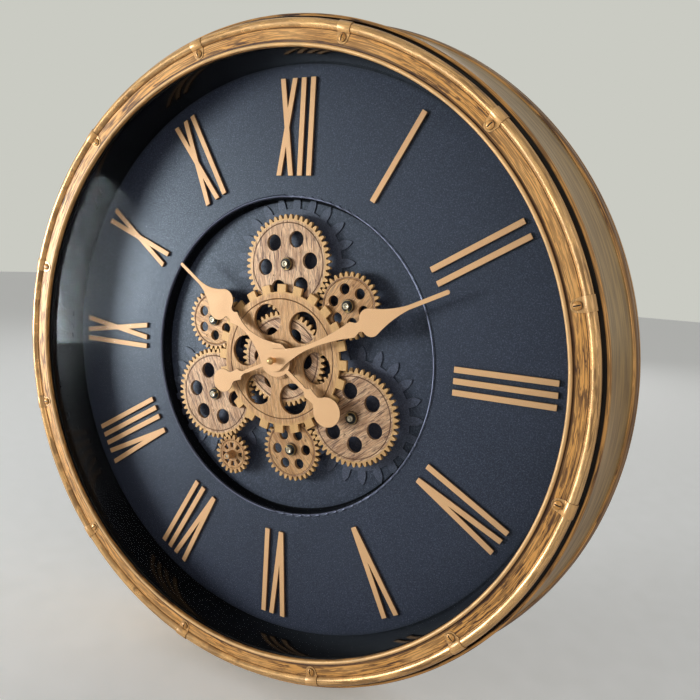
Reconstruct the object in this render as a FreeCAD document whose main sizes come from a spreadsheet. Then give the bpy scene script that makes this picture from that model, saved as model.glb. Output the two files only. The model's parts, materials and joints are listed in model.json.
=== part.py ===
"""Round wall clock with a train of turning gears in a recessed dial.

Every piece is drawn face on: X to the right, Y up the dial and Z out from the wall. A turn about X
then stands the clock up, so that the wall is the plane Y = 0, the front faces -Y and +Z is up.
Lengths are millimetres.
"""
import FreeCAD, Part
import Sketcher
import math
import os

LENGTHS = {
    # drum case; heights are from the wall
    "case_radius": 300.0,
    "flange_height": 15.0,
    "flange_width": 22.0,
    "flange_foot": 5.5,
    "flange_groove": 1.2,
    "flange_swell": 1.0,
    "band_step": 4.0,
    "band_taper": 9.0,
    "band_height": 52.5,
    "band_hollow": 1.3,
    "band_wall": 1.2,
    "rim_width": 20.5,
    "rim_depth": 7.5,
    "rim_roll": 2.2,
    "rim_rise": 3.2,
    "rim_land": 0.6,
    "rim_ledge": 4.7,
    "rim_fit": 0.2,
    # bezel, bead tube, clips and screws
    "bezel_rise": 10.0,
    "bezel_flat": 10.0,
    "lip_width": 3.2,
    "lip_gap": 0.8,
    "lip_rise": 2.0,
    "lip_step": 0.5,
    "bead_inset": 9.3,
    "bead_radius": 4.0,
    "bead_drop": 1.0,
    "bead_fit": 0.1,
    "clip_width": 11.2,
    "clip_sheet": 0.5,
    "clip_reach": 4.0,
    "eyelet_radius": 4.8,
    "screw_head_radius": 3.25,
    "screw_head_rim": 0.8,
    "screw_head_height": 2.1,
    "screw_slot_width": 1.0,
    "screw_slot_depth": 0.9,
    "screw_shank_radius": 1.5,
    "screw_hole_fit": 0.1,
    "screw_end_cover": 1.0,
    # glass, gasket and black inner wall
    "glass_inset": 1.9,
    "glass_thickness": 3.0,
    "glass_fit": 0.2,
    "gasket_thickness": 0.6,
    "gasket_width": 4.0,
    "wall_set_back": 0.4,
    "wall_lean": 1.6,
    "wall_sheet": 1.6,
    # dial and recess
    "dial_face": 32.0,
    "dial_sheet": 1.5,
    "dial_gap": 2.0,
    "recess_room": 59.0,
    "recess_depth": 11.0,
    "recess_roll": 1.3,
    "recess_roll_rise": 1.0,
    "pan_sheet": 1.5,
    "pan_fit": 0.8,
    "pan_flange": 12.0,
    "stud_radius": 1.5,
    "stud_length": 6.0,
    "stud_fit": 0.2,
    "nut_width": 5.5,
    "nut_height": 2.4,
    "relief_height": 1.0,
    "relief_room": 10.4,
    "relief_tooth_length": 13.0,
    "relief_tooth_point": 9.5,
    "relief_tooth_width": 8.0,
    "relief_wall_gap": 0.3,
    "relief_hole_fit": 0.5,
    # numerals
    "numeral_inner_gap": 18.4,
    "numeral_outer_gap": 11.8,
    "numeral_bar": 5.0,
    "numeral_height": 2.4,
    "numeral_bar_pitch": 9.4,
    "numeral_pair_pitch": 12.7,
    "numeral_fork_pitch": 15.3,
    "numeral_fork_half": 6.2,
    # gear train
    "gear_module": 1.8,
    "gear_addendum": 1.0,
    "gear_dedendum": 3.0,
    "gear_thickness": 3.6,
    "gear_lift": 8.4,
    "gear_hub_radius": 5.6,
    "gear_hub_rise": 2.2,
    "gear_line_width": 1.0,
    "gear_line_depth": 0.6,
    "gear_pip_radius": 1.1,
    "gear_pip_depth": 0.4,
    "pinion_hub_radius": 4.3,
    "pinion_hub_taper": 1.4,
    "pinion_hub_rise": 9.0,
    "front_gear_room": 12.5,
    "front_gear_tooth": 6.9,
    "front_gear_thickness": 3.2,
    "front_gear_gap": 0.8,
    "front_gear_line_inset": 6.4,
    "front_gear_boss_radius": 17.6,
    "front_gear_boss_rise": 2.6,
    "front_gear_crown_step": 3.2,
    "front_gear_crown_rise": 1.4,
    "tooth_overrun": 2.0,
    "running_fit": 0.07,
    "end_play": 0.2,
    # posts and their clips
    "post_radius": 2.8,
    "post_collar": 2.2,
    "post_rivet": 0.8,
    "post_rivet_height": 1.0,
    "post_tip_rise": 5.0,
    "clip_ring_width": 2.1,
    "clip_ring_thickness": 0.8,
    "clip_ring_mouth": 2.6,
    # centre sleeve, movement neck and hands
    "minute_arbor_radius": 1.75,
    "spindle_fit": 0.08,
    "hour_tube_wall": 0.77,
    "neck_wall": 1.32,
    "sleeve_gap": 0.3,
    "sleeve_wall": 3.2,
    "sleeve_shoulder": 2.5,
    "sleeve_flange": 3.0,
    "sleeve_flange_height": 1.6,
    "neck_nut_width": 13.0,
    "neck_nut_height": 1.6,
    "neck_washer_rim": 5.4,
    "neck_washer_height": 0.6,
    "neck_foot": 4.0,
    "neck_foot_height": 1.5,
    "hand_sheet": 1.0,
    "hand_gap": 0.5,
    "hand_spacing": 1.0,
    "hand_tube_stand": 0.3,
    "hour_hand_inset": 7.1,
    "minute_hand_overlap": 11.9,
    "hand_nut_radius": 3.4,
    "hand_nut_height": 8.8,
    "arbor_tip_rise": 2.4,
    # battery units behind the pan
    "unit_width": 56.0,
    "unit_body": 38.0,
    "unit_bay": 18.0,
    "unit_depth": 16.2,
    "unit_wall": 1.6,
    "unit_cover": 1.5,
    "unit_shaft_drop": 17.0,
    "unit_lug": 8.0,
    "unit_lug_sheet": 2.0,
    "battery_radius": 7.1,
    "battery_length": 49.0,
    "battery_button_radius": 2.6,
    "battery_button_length": 1.2,
    "drive_shaft_radius": 1.5,
    "drive_shaft_sink": 0.4,
    "knob_radius": 5.5,
    "knob_height": 2.2,
    "knob_gap": 0.3,
    "knob_stem_radius": 1.5,
    "knob_place": 12.0,
    "knob_rib": 0.5,
    # back panel, standoffs and hanger
    "panel_sheet": 3.0,
    "panel_seat": 9.0,
    "panel_fit": 0.3,
    "panel_window_margin": 1.0,
    "knob_hole_fit": 2.5,
    "panel_screw_inset": 3.5,
    "panel_screw_length": 12.0,
    "countersunk_head_radius": 3.6,
    "countersunk_head_height": 2.2,
    "countersunk_shank_radius": 1.7,
    "standoff_inset": 61.0,
    "standoff_radius": 6.0,
    "standoff_bore_radius": 2.0,
    "standoff_screw_length": 14.0,
    "standoff_stud_length": 8.0,
    "hanger_width": 60.0,
    "hanger_tall": 44.0,
    "hanger_sheet": 1.5,
    "hanger_inset": 54.0,
    "hanger_side_margin": 13.0,
    "hanger_end_margin": 6.0,
    "hanger_screw_inset": 7.0,
    "keyhole_radius": 5.5,
    "keyhole_slot_radius": 2.6,
    "keyhole_rise": 12.0,
    "hanger_screw_head_radius": 3.6,
    "hanger_screw_head_height": 2.0,
}

COUNTS = {
    "wheel_teeth": 48,
    "idler_teeth": 32,
    "pinion_teeth": 20,
    "front_gear_teeth": 24,
    "gear_holes": 6,
    "pinion_windows": 8,
    "bezel_screws": 12,
    "relief_teeth": 21,
    "panel_screws": 12,
    "standoffs": 6,
    "pan_studs": 6,
    "wheels_round": 3,
    "knob_ribs": 16,
    "hours": 12,
}

ANGLES = {
    "idler_lead": -50.0,
    "pinion_direction": -68.0,
    "bezel_turn": -14.4,
    "hour_hand_turn": -305.42,
    "minute_hand_turn": -65.06,
    "pinion_window_half": 11.5,
    "bead_seat_end": -45.0,
    "clip_start": 166.0,
    "clip_end": -25.0,
    "centre_gear_turn": 1.45,
    "front_gear_turn": 2.0,
    "post_first": 90.0,
    "hand_nut_neck": 45.0,
}

# Share of the circular pitch that the gap between two teeth takes at its root, pitch and tip circles.
GAP_SHARES = {
    "gap_root_share": 0.27,
    "gap_pitch_share": 0.57,
    "gap_tip_share": 0.84,
    "front_gap_root_share": 0.44,
    "front_gap_tip_share": 0.50,
}

# Places on a gear's face, as shares of the radius of its tooth roots.
FACE_SHARES = {
    "line_share": 0.92,
    "hole_circle_share": 0.59,
    "hole_share": 0.185,
    "wheel_pip_share": 0.433,
    "idler_pip_share": 0.713,
    "window_inner_share": 0.46,
    "window_outer_share": 0.77,
    "front_hole_circle_share": 0.622,
    "front_hole_share": 0.233,
}

# Middle of each curved side of a relief tooth's point: how far along the point and how wide.
LEAF_SHARES = {
    "leaf_along_share": 0.55,
    "leaf_half_share": 0.74,
}

# Sizes that follow from the ones above.
FORMULAS = {
    "flange_inner_radius": "case_radius - flange_width",
    "band_back_radius": "case_radius - band_step",
    "band_front_radius": "band_back_radius - band_taper",
    "band_top": "flange_height + band_height",
    "rim_inner_radius": "band_front_radius - rim_width",
    "rim_top": "band_top + rim_rise",
    "rim_ledge_height": "rim_top - rim_ledge",
    "rim_bottom": "band_top - rim_depth",
    "bezel_face": "rim_ledge_height + bezel_rise",
    "bead_centre_radius": "band_front_radius - bead_inset",
    "bead_height": "bezel_face - bead_drop",
    "bezel_crease_radius": "bead_centre_radius - bead_radius",
    "bezel_screw_circle": "bezel_crease_radius - clip_reach",
    "bezel_face_inner_radius": "bezel_crease_radius - bezel_flat",
    "lip_outer_radius": "bezel_face_inner_radius - lip_gap",
    "lip_inner_radius": "lip_outer_radius - lip_width",
    "glass_radius": "rim_inner_radius - glass_inset",
    "glass_front": "bezel_face - lip_rise - glass_fit",
    "glass_back": "glass_front - glass_thickness",
    "wall_front": "glass_back - gasket_thickness",
    "wall_front_radius": "lip_inner_radius + wall_set_back",
    "wall_back_radius": "wall_front_radius - wall_lean",
    "dial_radius": "flange_inner_radius - dial_gap",
    "dial_back": "dial_face - dial_sheet",
    "wheel_ring_radius": "gear_module * wheel_teeth",
    "recess_radius": "wheel_ring_radius + recess_room",
    "pan_floor": "dial_face - recess_depth",
    "pan_back": "pan_floor - pan_sheet",
    "pan_bore": "recess_radius - pan_fit",
    "pan_outer_radius": "pan_bore + pan_sheet",
    "stud_circle": "pan_outer_radius + (pan_flange + nut_width / 4) / 2",
    "numeral_inner_radius": "recess_radius + numeral_inner_gap",
    "numeral_length": "wall_back_radius - numeral_outer_gap - numeral_inner_radius",
    "gear_back": "pan_floor + gear_lift",
    "gear_face": "gear_back + gear_thickness",
    "hub_top": "gear_face + gear_hub_rise",
    "pinion_hub_tip_radius": "pinion_hub_radius - pinion_hub_taper",
    "front_back": "gear_face + front_gear_gap",
    "front_face": "front_back + front_gear_thickness",
    "front_gear_tip_radius": "wheel_ring_radius - gear_hub_radius - front_gear_room",
    "front_gear_root_radius": "front_gear_tip_radius - front_gear_tooth",
    "front_gear_line_radius": "front_gear_root_radius - front_gear_line_inset",
    "front_gear_crown_radius": "front_gear_boss_radius - front_gear_crown_step",
    "boss_top": "front_face + front_gear_boss_rise",
    "crown_top": "boss_top + front_gear_crown_rise",
    "post_bore": "post_radius + running_fit",
    "post_collar_radius": "post_radius + post_collar",
    "post_rivet_radius": "post_radius + post_rivet",
    "clip_ring_radius": "post_radius + clip_ring_width",
    "hour_tube_bore": "minute_arbor_radius + spindle_fit",
    "hour_tube_radius": "hour_tube_bore + hour_tube_wall",
    "neck_bore": "hour_tube_radius + spindle_fit",
    "neck_radius": "neck_bore + neck_wall",
    "neck_washer_radius": "neck_radius + neck_washer_rim",
    "neck_foot_radius": "neck_radius + neck_foot",
    "sleeve_bore": "neck_radius + sleeve_gap",
    "sleeve_radius": "sleeve_bore + sleeve_wall",
    "sleeve_shoulder_radius": "sleeve_radius + sleeve_shoulder",
    "sleeve_flange_radius": "sleeve_shoulder_radius + sleeve_flange",
    "sleeve_gear_bore": "sleeve_radius + running_fit",
    "sleeve_top": "crown_top + end_play",
    "relief_tip_radius": "wheel_ring_radius - sleeve_flange_radius - relief_room",
    "relief_disc_radius": "relief_tip_radius - relief_tooth_length",
    "relief_shoulder_radius": "relief_tip_radius - relief_tooth_point",
    "neck_nut_top": "sleeve_top + neck_washer_height + neck_nut_height",
    "hour_hand_back": "neck_nut_top + hand_gap",
    "hour_tube_top": "hour_hand_back + hand_sheet + hand_tube_stand",
    "minute_hand_back": "hour_tube_top + hand_spacing",
    "hour_hand_length": "recess_radius - hour_hand_inset",
    "minute_hand_length": "numeral_inner_radius + minute_hand_overlap",
    "unit_back": "pan_back - unit_depth",
    "drive_shaft_tip": "gear_face + pinion_hub_rise - drive_shaft_sink",
    "knob_hole_radius": "knob_radius + knob_hole_fit",
    "panel_screw_circle": "flange_inner_radius + panel_screw_inset",
    "standoff_circle": "dial_radius - standoff_inset",
    "hanger_place": "flange_inner_radius - hanger_inset",
    "hanger_window_width": "hanger_width - 2 * hanger_side_margin",
    "hanger_window_tall": "hanger_tall - 2 * hanger_end_margin",
    "hanger_screw_pitch": "hanger_width - 2 * hanger_screw_inset",
}

# Hour, Roman numeral and how far it stands off its hour line, as a share of the numeral's length.
NUMERAL_SHIFT_SHARES = [
    ("xii", 0.030), ("i", -0.014), ("ii", -0.029), ("iii", -0.026), ("iv", -0.007), ("v", -0.022),
    ("vi", -0.052), ("vii", -0.040), ("viii", 0.052), ("ix", 0.048), ("x", 0.004), ("xi", 0.002),
]

# Each wheel with the turn wanted for it in degrees, then the same for the small gear that meshes with it.
TRAIN = [
    ("top_gear", 9.35, "upper_right_gear", 45.6),
    ("left_gear", 56.2, "upper_left_gear", 27.2),
    ("right_gear", 39.8, "bottom_gear", 10.2),
]

# Half outline of each hand: (place along the hand, half width), both as shares of its length. The
# tail lies at negative places. A row marked True is the middle of an arc from the row before it to
# the row after it; the stretches left are straight.
MINUTE_HAND_SHARES = [
    (-0.4105, 0.0000, False), (-0.3480, 0.0620, True), (-0.2980, 0.0345, False),
    (-0.2840, 0.0262, False), (-0.2640, 0.0268, True), (-0.2370, 0.0315, False),
    (-0.2200, 0.0130, True), (-0.1880, 0.0094, False), (-0.0800, 0.0094, False),
    (-0.0480, 0.0430, True), (0.0150, 0.0590, False), (0.0900, 0.0330, True),
    (0.2100, 0.0120, False), (0.2700, 0.0120, False), (0.3900, 0.0230, True),
    (0.4800, 0.0400, False), (0.4980, 0.0300, False), (0.5160, 0.0240, True),
    (0.5330, 0.0330, False), (0.5640, 0.0665, True), (0.6010, 0.0640, False),
    (0.6800, 0.0330, True), (0.7900, 0.0108, False), (0.9892, 0.0108, False),
    (1.0000, 0.0000, True),
]
HOUR_HAND_SHARES = [
    (-0.5890, 0.0000, False), (-0.4930, 0.0965, True), (-0.4080, 0.0480, False),
    (-0.3860, 0.0300, False), (-0.3550, 0.0300, True), (-0.3130, 0.0390, False),
    (-0.2950, 0.0190, True), (-0.2560, 0.0150, False), (-0.1160, 0.0150, False),
    (-0.0700, 0.0850, True), (0.0400, 0.1090, False), (0.1600, 0.0440, True),
    (0.2750, 0.0150, False), (0.3050, 0.0150, False), (0.3700, 0.0250, True),
    (0.4270, 0.0480, False), (0.4420, 0.0330, False), (0.4600, 0.0300, True),
    (0.4830, 0.0450, False), (0.5330, 0.1080, True), (0.6050, 0.0980, False),
    (0.7000, 0.0340, True), (0.8200, 0.0116, False), (0.9884, 0.0116, False),
    (1.0000, 0.0000, True),
]

document = FreeCAD.newDocument("wall_clock")
sheet = document.addObject("Spreadsheet::Sheet", "Sizes")
parts = []


class Size:
    """A number together with the spreadsheet expression that gives it."""

    def __init__(self, number, text):
        self.number = number
        self.text = text

    def join(self, other, sign, number, first=False):
        text = other.text if isinstance(other, Size) else repr(other)
        left, right = (text, self.text) if first else (self.text, text)
        return Size(number, "(%s %s %s)" % (left, sign, right))

    def __add__(self, other):
        return self.join(other, "+", self.number + plain(other))

    def __radd__(self, other):
        return self.join(other, "+", plain(other) + self.number, True)

    def __sub__(self, other):
        return self.join(other, "-", self.number - plain(other))

    def __rsub__(self, other):
        return self.join(other, "-", plain(other) - self.number, True)

    def __mul__(self, other):
        return self.join(other, "*", self.number * plain(other))

    def __rmul__(self, other):
        return self.join(other, "*", plain(other) * self.number, True)

    def __truediv__(self, other):
        return self.join(other, "/", self.number / plain(other))

    def __rtruediv__(self, other):
        return self.join(other, "/", plain(other) / self.number, True)

    def __neg__(self):
        return Size(-self.number, "(0 - %s)" % self.text)


def plain(value):
    return value.number if isinstance(value, Size) else float(value)


def sine(angle):
    return Size(math.sin(math.radians(plain(angle))), "sin(%s)" % angle.text)


def cosine(angle):
    return Size(math.cos(math.radians(plain(angle))), "cos(%s)" % angle.text)


def as_size(number):
    return Size(float(number), repr(float(number)))


def square_root(value):
    return Size(math.sqrt(plain(value)), "sqrt(%s)" % value.text)


def dome(radius, low, top):
    """Outline of a round-topped head, from its edge to its crown on the axis."""
    rise = top - low
    ball = (radius * radius + rise * rise) / (2 * rise)
    halfway = radius / 2
    return [(radius, low), (halfway, top - ball + square_root(ball * ball - halfway * halfway), True),
            (as_size(0), top)]


def fill_sheet():
    """Write every size to a named cell of its own, and give the sizes back by name."""
    rows = {}
    for group in (LENGTHS, COUNTS, ANGLES, GAP_SHARES, FACE_SHARES, LEAF_SHARES):
        rows.update({name: str(number) for name, number in group.items()})
    rows.update({name: "=" + formula for name, formula in FORMULAS.items()})
    for row, (name, content) in enumerate(rows.items(), 1):
        cell = "A%d" % row
        sheet.set(cell, content)
        sheet.setAlias(cell, name)
    document.recompute()
    return {name: Size(float(sheet.get(name)), "Sizes." + name) for name in rows}


S = fill_sheet()


def bind(item, prop, value):
    """Give a property its value, by expression where the value is a size."""
    if isinstance(value, Size):
        item.setExpression(prop, value.text)
    elif value:
        item.setExpression(prop, repr(float(value)))


def new_body(label):
    body = document.addObject("PartDesign::Body", label)
    body.Label = label
    return body


def base_plane(body, role):
    return [item for item in body.Origin.OriginFeatures if item.Role == role][0]


def new_sketch(body, role, height=0):
    sketch = body.newObject("Sketcher::SketchObject", body.Label + "_sketch")
    sketch.AttachmentSupport = [(base_plane(body, role), "")]
    sketch.MapMode = "FlatFace"
    bind(sketch, "AttachmentOffset.Base.z", height)
    return sketch


def hold_point(sketch, geometry, end, x, y):
    """Tie a point to its two coordinates."""
    for value, kind, axis in ((x, "DistanceX", -2), (y, "DistanceY", -1)):
        if plain(value) == 0:
            sketch.addConstraint(Sketcher.Constraint("PointOnObject", geometry, end, axis))
            continue
        index = sketch.addConstraint(Sketcher.Constraint(kind, -1, 1, geometry, end, plain(value)))
        if isinstance(value, Size):
            sketch.setExpression("Constraints[%d]" % index, value.text)


def vector(point):
    return FreeCAD.Vector(plain(point[0]), plain(point[1]), 0)


def draw_outline(sketch, points):
    """Close an outline through points (x, y); a point (x, y, True) is the middle of an arc."""
    corners = [k for k, point in enumerate(points) if len(point) == 2]
    pieces = []
    for place, k in enumerate(corners):
        following = corners[(place + 1) % len(corners)]
        middle = points[(k + 1) % len(points)]
        start, end = points[k], points[following]
        if len(middle) == 2:
            shape = Part.LineSegment(vector(start), vector(end))
            pieces.append((sketch.addGeometry(shape, False), 1, 2, start))
            continue
        turn = (vector(middle) - vector(start)).cross(vector(end) - vector(middle)).z
        if turn > 0:
            shape, first, last = Part.Arc(vector(start), vector(middle), vector(end)), 1, 2
        else:
            shape, first, last = Part.Arc(vector(end), vector(middle), vector(start)), 2, 1
        arc = sketch.addGeometry(shape, False)
        mark = sketch.addGeometry(Part.Point(vector(middle)), True)
        hold_point(sketch, mark, 1, middle[0], middle[1])
        sketch.addConstraint(Sketcher.Constraint("PointOnObject", mark, 1, arc))
        pieces.append((arc, first, last, start))
    for place, (geometry, first, last, start) in enumerate(pieces):
        following = pieces[(place + 1) % len(pieces)]
        sketch.addConstraint(Sketcher.Constraint("Coincident", geometry, last, following[0], following[1]))
        hold_point(sketch, geometry, first, start[0], start[1])


def draw_circle(sketch, x, y, radius):
    geometry = sketch.addGeometry(
        Part.Circle(FreeCAD.Vector(plain(x), plain(y), 0), FreeCAD.Vector(0, 0, 1), plain(radius)), False)
    hold_point(sketch, geometry, 3, x, y)
    index = sketch.addConstraint(Sketcher.Constraint("Radius", geometry, plain(radius)))
    sketch.setExpression("Constraints[%d]" % index, radius.text)


def revolve(body, kind, points, axis_at=None, sweep=None):
    """Turn an outline of (radius, height) about the clock's axis, or about a line beside it."""
    sketch = new_sketch(body, "XZ_Plane")
    if axis_at is not None:
        low = min(plain(point[1]) for point in points)
        high = max(plain(point[1]) for point in points)
        line = sketch.addGeometry(Part.LineSegment(vector((axis_at, low)), vector((axis_at, high))), True)
        hold_point(sketch, line, 1, axis_at, points[0][1])
        sketch.addConstraint(Sketcher.Constraint("Vertical", line))
        points = [(axis_at + point[0],) + tuple(point[1:]) for point in points]
    draw_outline(sketch, points)
    feature = body.newObject("PartDesign::" + kind, body.Label + "_turned")
    feature.Profile = sketch
    feature.ReferenceAxis = (sketch, ["V_Axis"] if axis_at is None else ["Axis0"])
    feature.Angle = 360
    if sweep is not None:
        bind(feature, "Angle", sweep)
        feature.Midplane = True
    body.Tip = feature
    return feature


def pad(body, draw, height, thickness):
    """Raise a face-on outline by a thickness from its height above the wall."""
    sketch = new_sketch(body, "XY_Plane", height)
    draw(sketch)
    feature = body.newObject("PartDesign::Pad", body.Label + "_pad")
    feature.Profile = sketch
    bind(feature, "Length", thickness)
    body.Tip = feature
    return feature


def pocket(body, draw, height, depth):
    """Cut a face-on outline away, from its height above the wall down by a depth."""
    document.recompute()
    before = body.Shape.Volume
    sketch = new_sketch(body, "XY_Plane", height)
    draw(sketch)
    feature = body.newObject("PartDesign::Pocket", body.Label + "_pocket")
    feature.Profile = sketch
    feature.Type = "Length"
    bind(feature, "Length", depth)
    body.Tip = feature
    document.recompute()
    if not body.Shape.Volume < before:
        raise RuntimeError("a pocket in %s cuts nothing" % body.Label)
    return feature


def repeat(body, features, count):
    """Repeat features evenly about the clock's axis."""
    feature = body.newObject("PartDesign::PolarPattern", body.Label + "_round")
    feature.Originals = features
    feature.Axis = (features[0].Profile[0], ["N_Axis"])
    if features[0].Profile[0].AttachmentSupport[0][0].Role == "XZ_Plane":
        feature.Axis = (features[0].Profile[0], ["V_Axis"])
    feature.Angle = 360
    bind(feature, "Occurrences", count)
    body.Tip = feature
    return feature


def stand_up(item, turn=0, x=0, y=0, height=0):
    """Place a face-on piece: turned in its own plane, moved across the dial, then stood upright."""
    upright = FreeCAD.Rotation(FreeCAD.Vector(1, 0, 0), 90)
    in_plane = FreeCAD.Rotation(FreeCAD.Vector(0, 0, 1), plain(turn))
    place = FreeCAD.Vector(plain(x), -plain(height), plain(y))
    item.Placement = FreeCAD.Placement(place, upright.multiply(in_plane))
    for axis, value in (("x", x), ("y", -height), ("z", y)):
        if isinstance(value, Size):
            item.setExpression("Placement.Base." + axis, value.text)
    parts.append(item)
    return item


def turned_part(label, points, turn=0, x=0, y=0):
    body = new_body(label)
    revolve(body, "Revolution", points)
    return stand_up(body, turn, x, y)


def polygon(points):
    return lambda sketch: draw_outline(sketch, points)


def circles(places):
    def draw(sketch):
        for x, y, radius in places:
            draw_circle(sketch, x, y, radius)
    return draw


def rectangle(left, bottom, right, top):
    return polygon([(left, bottom), (right, bottom), (right, top), (left, top)])


def hexagon(x, y, width):
    """Outline of a nut, its width measured across the flats."""
    sides = 6
    corner = width / (2 * cosine(as_size(180 / sides)))
    points = []
    for k in range(sides):
        angle = as_size(360 * k / sides)
        points.append((x + corner * cosine(angle), y + corner * sine(angle)))
    return points


def polar(radius, angle):
    return radius * cosine(angle), radius * sine(angle)


def pitch_radius(teeth):
    return S["gear_module"] * teeth / 2


def back_flange():
    inner = S["case_radius"] - S["flange_width"]
    groove_top = S["flange_foot"] + 2 * S["flange_groove"]
    middle = (groove_top + S["flange_height"]) / 2
    body = new_body("back_flange")
    revolve(body, "Revolution", [
        (inner + S["panel_seat"], 0),
        (S["case_radius"], 0),
        (S["case_radius"], S["flange_foot"]),
        (S["case_radius"] - S["flange_groove"], S["flange_foot"] + S["flange_groove"]),
        (S["case_radius"] - S["flange_groove"] / 2, groove_top),
        ((S["case_radius"] + S["band_back_radius"]) / 2 + S["flange_swell"], middle, True),
        (S["band_back_radius"], S["flange_height"]),
        (inner, S["flange_height"]),
        (inner, S["panel_sheet"]),
        (inner + S["panel_seat"], S["panel_sheet"]),
    ])
    pilot = S["countersunk_shank_radius"]
    holes = revolve(body, "Groove", [
        (0, S["panel_sheet"]), (pilot, S["panel_sheet"]), (pilot, S["panel_screw_length"]),
        (0, S["panel_screw_length"]),
    ], axis_at=S["panel_screw_circle"])
    repeat(body, [holes], S["panel_screws"])
    return stand_up(body)


def side_band():
    middle = S["flange_height"] + S["band_height"] / 2
    swell = (S["band_back_radius"] + S["band_front_radius"]) / 2 - S["band_hollow"]
    wall = S["band_wall"]
    return turned_part("side_band", [
        (S["band_back_radius"] - wall, S["flange_height"]),
        (S["band_back_radius"], S["flange_height"]),
        (swell, middle, True),
        (S["band_front_radius"], S["band_top"]),
        (S["band_front_radius"] - wall, S["band_top"]),
        (swell - wall, middle, True),
    ])


def front_rim():
    nose = S["band_front_radius"] - S["rim_roll"]
    neck = S["band_front_radius"] - S["band_wall"] - S["rim_fit"]
    roll_share = 0.72
    body = new_body("front_rim")
    revolve(body, "Revolution", [
        (S["rim_inner_radius"], S["rim_bottom"]),
        (neck, S["rim_bottom"]),
        (neck, S["band_top"]),
        (S["band_front_radius"], S["band_top"]),
        (nose + S["rim_roll"] * roll_share, S["band_top"] + S["rim_rise"] * roll_share, True),
        (nose, S["rim_top"]),
        (nose - S["rim_land"], S["rim_top"]),
        (nose - S["rim_land"], S["rim_ledge_height"]),
        (S["rim_inner_radius"], S["rim_ledge_height"]),
    ])
    bezel_screw_holes(body, S["rim_bottom"] + S["screw_end_cover"], S["rim_ledge_height"])
    return stand_up(body, S["bezel_turn"])


def bezel_screw_holes(body, bottom, top):
    bore = S["screw_shank_radius"] + S["screw_hole_fit"]
    holes = revolve(body, "Groove", [(0, bottom), (bore, bottom), (bore, top), (0, top)],
                    axis_at=S["bezel_screw_circle"])
    repeat(body, [holes], S["bezel_screws"])


def bezel_ring():
    seat = S["bead_radius"] + S["bead_fit"]
    end = S["bead_seat_end"]
    outer = S["bead_centre_radius"] + seat * cosine(end)
    outer_height = S["bead_height"] + seat * sine(end)
    low = S["bead_height"] - seat
    lip_crest = S["bezel_face"] + S["lip_rise"]
    lip_middle = (S["lip_inner_radius"] + S["lip_outer_radius"]) / 2
    pocket_radius = S["glass_radius"] + S["bead_fit"] + S["glass_fit"] * 2
    body = new_body("bezel_ring")
    revolve(body, "Revolution", [
        (pocket_radius, S["rim_ledge_height"]),
        (outer, S["rim_ledge_height"]),
        (outer, outer_height),
        (S["bead_centre_radius"], low, True),
        (S["bezel_crease_radius"] - S["bead_fit"], S["bead_height"]),
        (S["bezel_crease_radius"] - S["bead_fit"], S["bezel_face"]),
        (S["bezel_face_inner_radius"], S["bezel_face"]),
        (S["lip_outer_radius"], S["bezel_face"] - S["lip_step"]),
        (S["lip_outer_radius"], S["bezel_face"]),
        (lip_middle, lip_crest, True),
        (S["lip_inner_radius"], S["bezel_face"]),
        (S["lip_inner_radius"], S["glass_front"] + S["glass_fit"]),
        (pocket_radius, S["glass_front"] + S["glass_fit"]),
    ])
    bezel_screw_holes(body, S["rim_ledge_height"], S["bezel_face"])
    return stand_up(body, S["bezel_turn"])


def bezel_bead():
    bead = document.addObject("Part::Torus", "bezel_bead")
    bead.Label = "bezel_bead"
    bind(bead, "Radius1", S["bead_centre_radius"])
    bind(bead, "Radius2", S["bead_radius"])
    return stand_up(bead, height=S["bead_height"])


def bead_clips():
    """Straps that hold the bead down, each with an eyelet on the bezel's face."""
    inner = S["bead_radius"] + S["bead_fit"]
    outer = inner + S["clip_sheet"]
    start, end = S["clip_start"], S["clip_end"]
    middle = (start + end) / 2
    centre = S["bead_centre_radius"]

    def ring_point(radius, angle):
        return centre + radius * cosine(angle), S["bead_height"] + radius * sine(angle)

    body = new_body("bead_clips")
    strap = revolve(body, "Revolution", [
        ring_point(inner, start), ring_point(inner, middle) + (True,), ring_point(inner, end),
        ring_point(outer, end), ring_point(outer, middle) + (True,), ring_point(outer, start),
    ], sweep=S["clip_width"] / centre * (180 / math.pi))
    half = S["clip_width"] / 2
    eye = S["bezel_screw_circle"]
    root = S["bezel_crease_radius"]
    tab = pad(body, polygon([
        (root, -half), (root, half), (eye, S["eyelet_radius"]), (eye - S["eyelet_radius"], 0, True),
        (eye, -S["eyelet_radius"]),
    ]), S["bezel_face"], S["clip_sheet"])
    hole = pocket(body, circles([(eye, 0, S["screw_shank_radius"] + S["screw_hole_fit"])]),
                  S["bezel_face"] + S["clip_sheet"], S["clip_sheet"])
    repeat(body, [strap, tab, hole], S["bezel_screws"])
    return stand_up(body, S["bezel_turn"])


def bezel_screws():
    seat = S["bezel_face"] + S["clip_sheet"]
    shank = S["screw_shank_radius"]
    head = S["screw_head_radius"]
    top = seat + S["screw_head_height"]
    body = new_body("bezel_screws")
    turned = revolve(body, "Revolution", [
        (0, S["rim_bottom"] + S["screw_end_cover"]),
        (shank, S["rim_bottom"] + S["screw_end_cover"]),
        (shank, seat),
        (head, seat),
    ] + dome(head, seat + S["screw_head_rim"], top), axis_at=S["bezel_screw_circle"])
    reach = head + S["screw_slot_width"]
    half = S["screw_slot_width"] / 2
    eye = S["bezel_screw_circle"]
    repeat(body, [turned], S["bezel_screws"])
    slot = pocket(body, rectangle(eye - reach, -half, eye + reach, half), top, S["screw_slot_depth"])
    repeat(body, [slot], S["bezel_screws"])
    return stand_up(body, S["bezel_turn"])


def glass_pane():
    pane = document.addObject("Part::Cylinder", "glass_pane")
    pane.Label = "glass_pane"
    bind(pane, "Radius", S["glass_radius"])
    bind(pane, "Height", S["glass_thickness"])
    return stand_up(pane, height=S["glass_back"])


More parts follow.
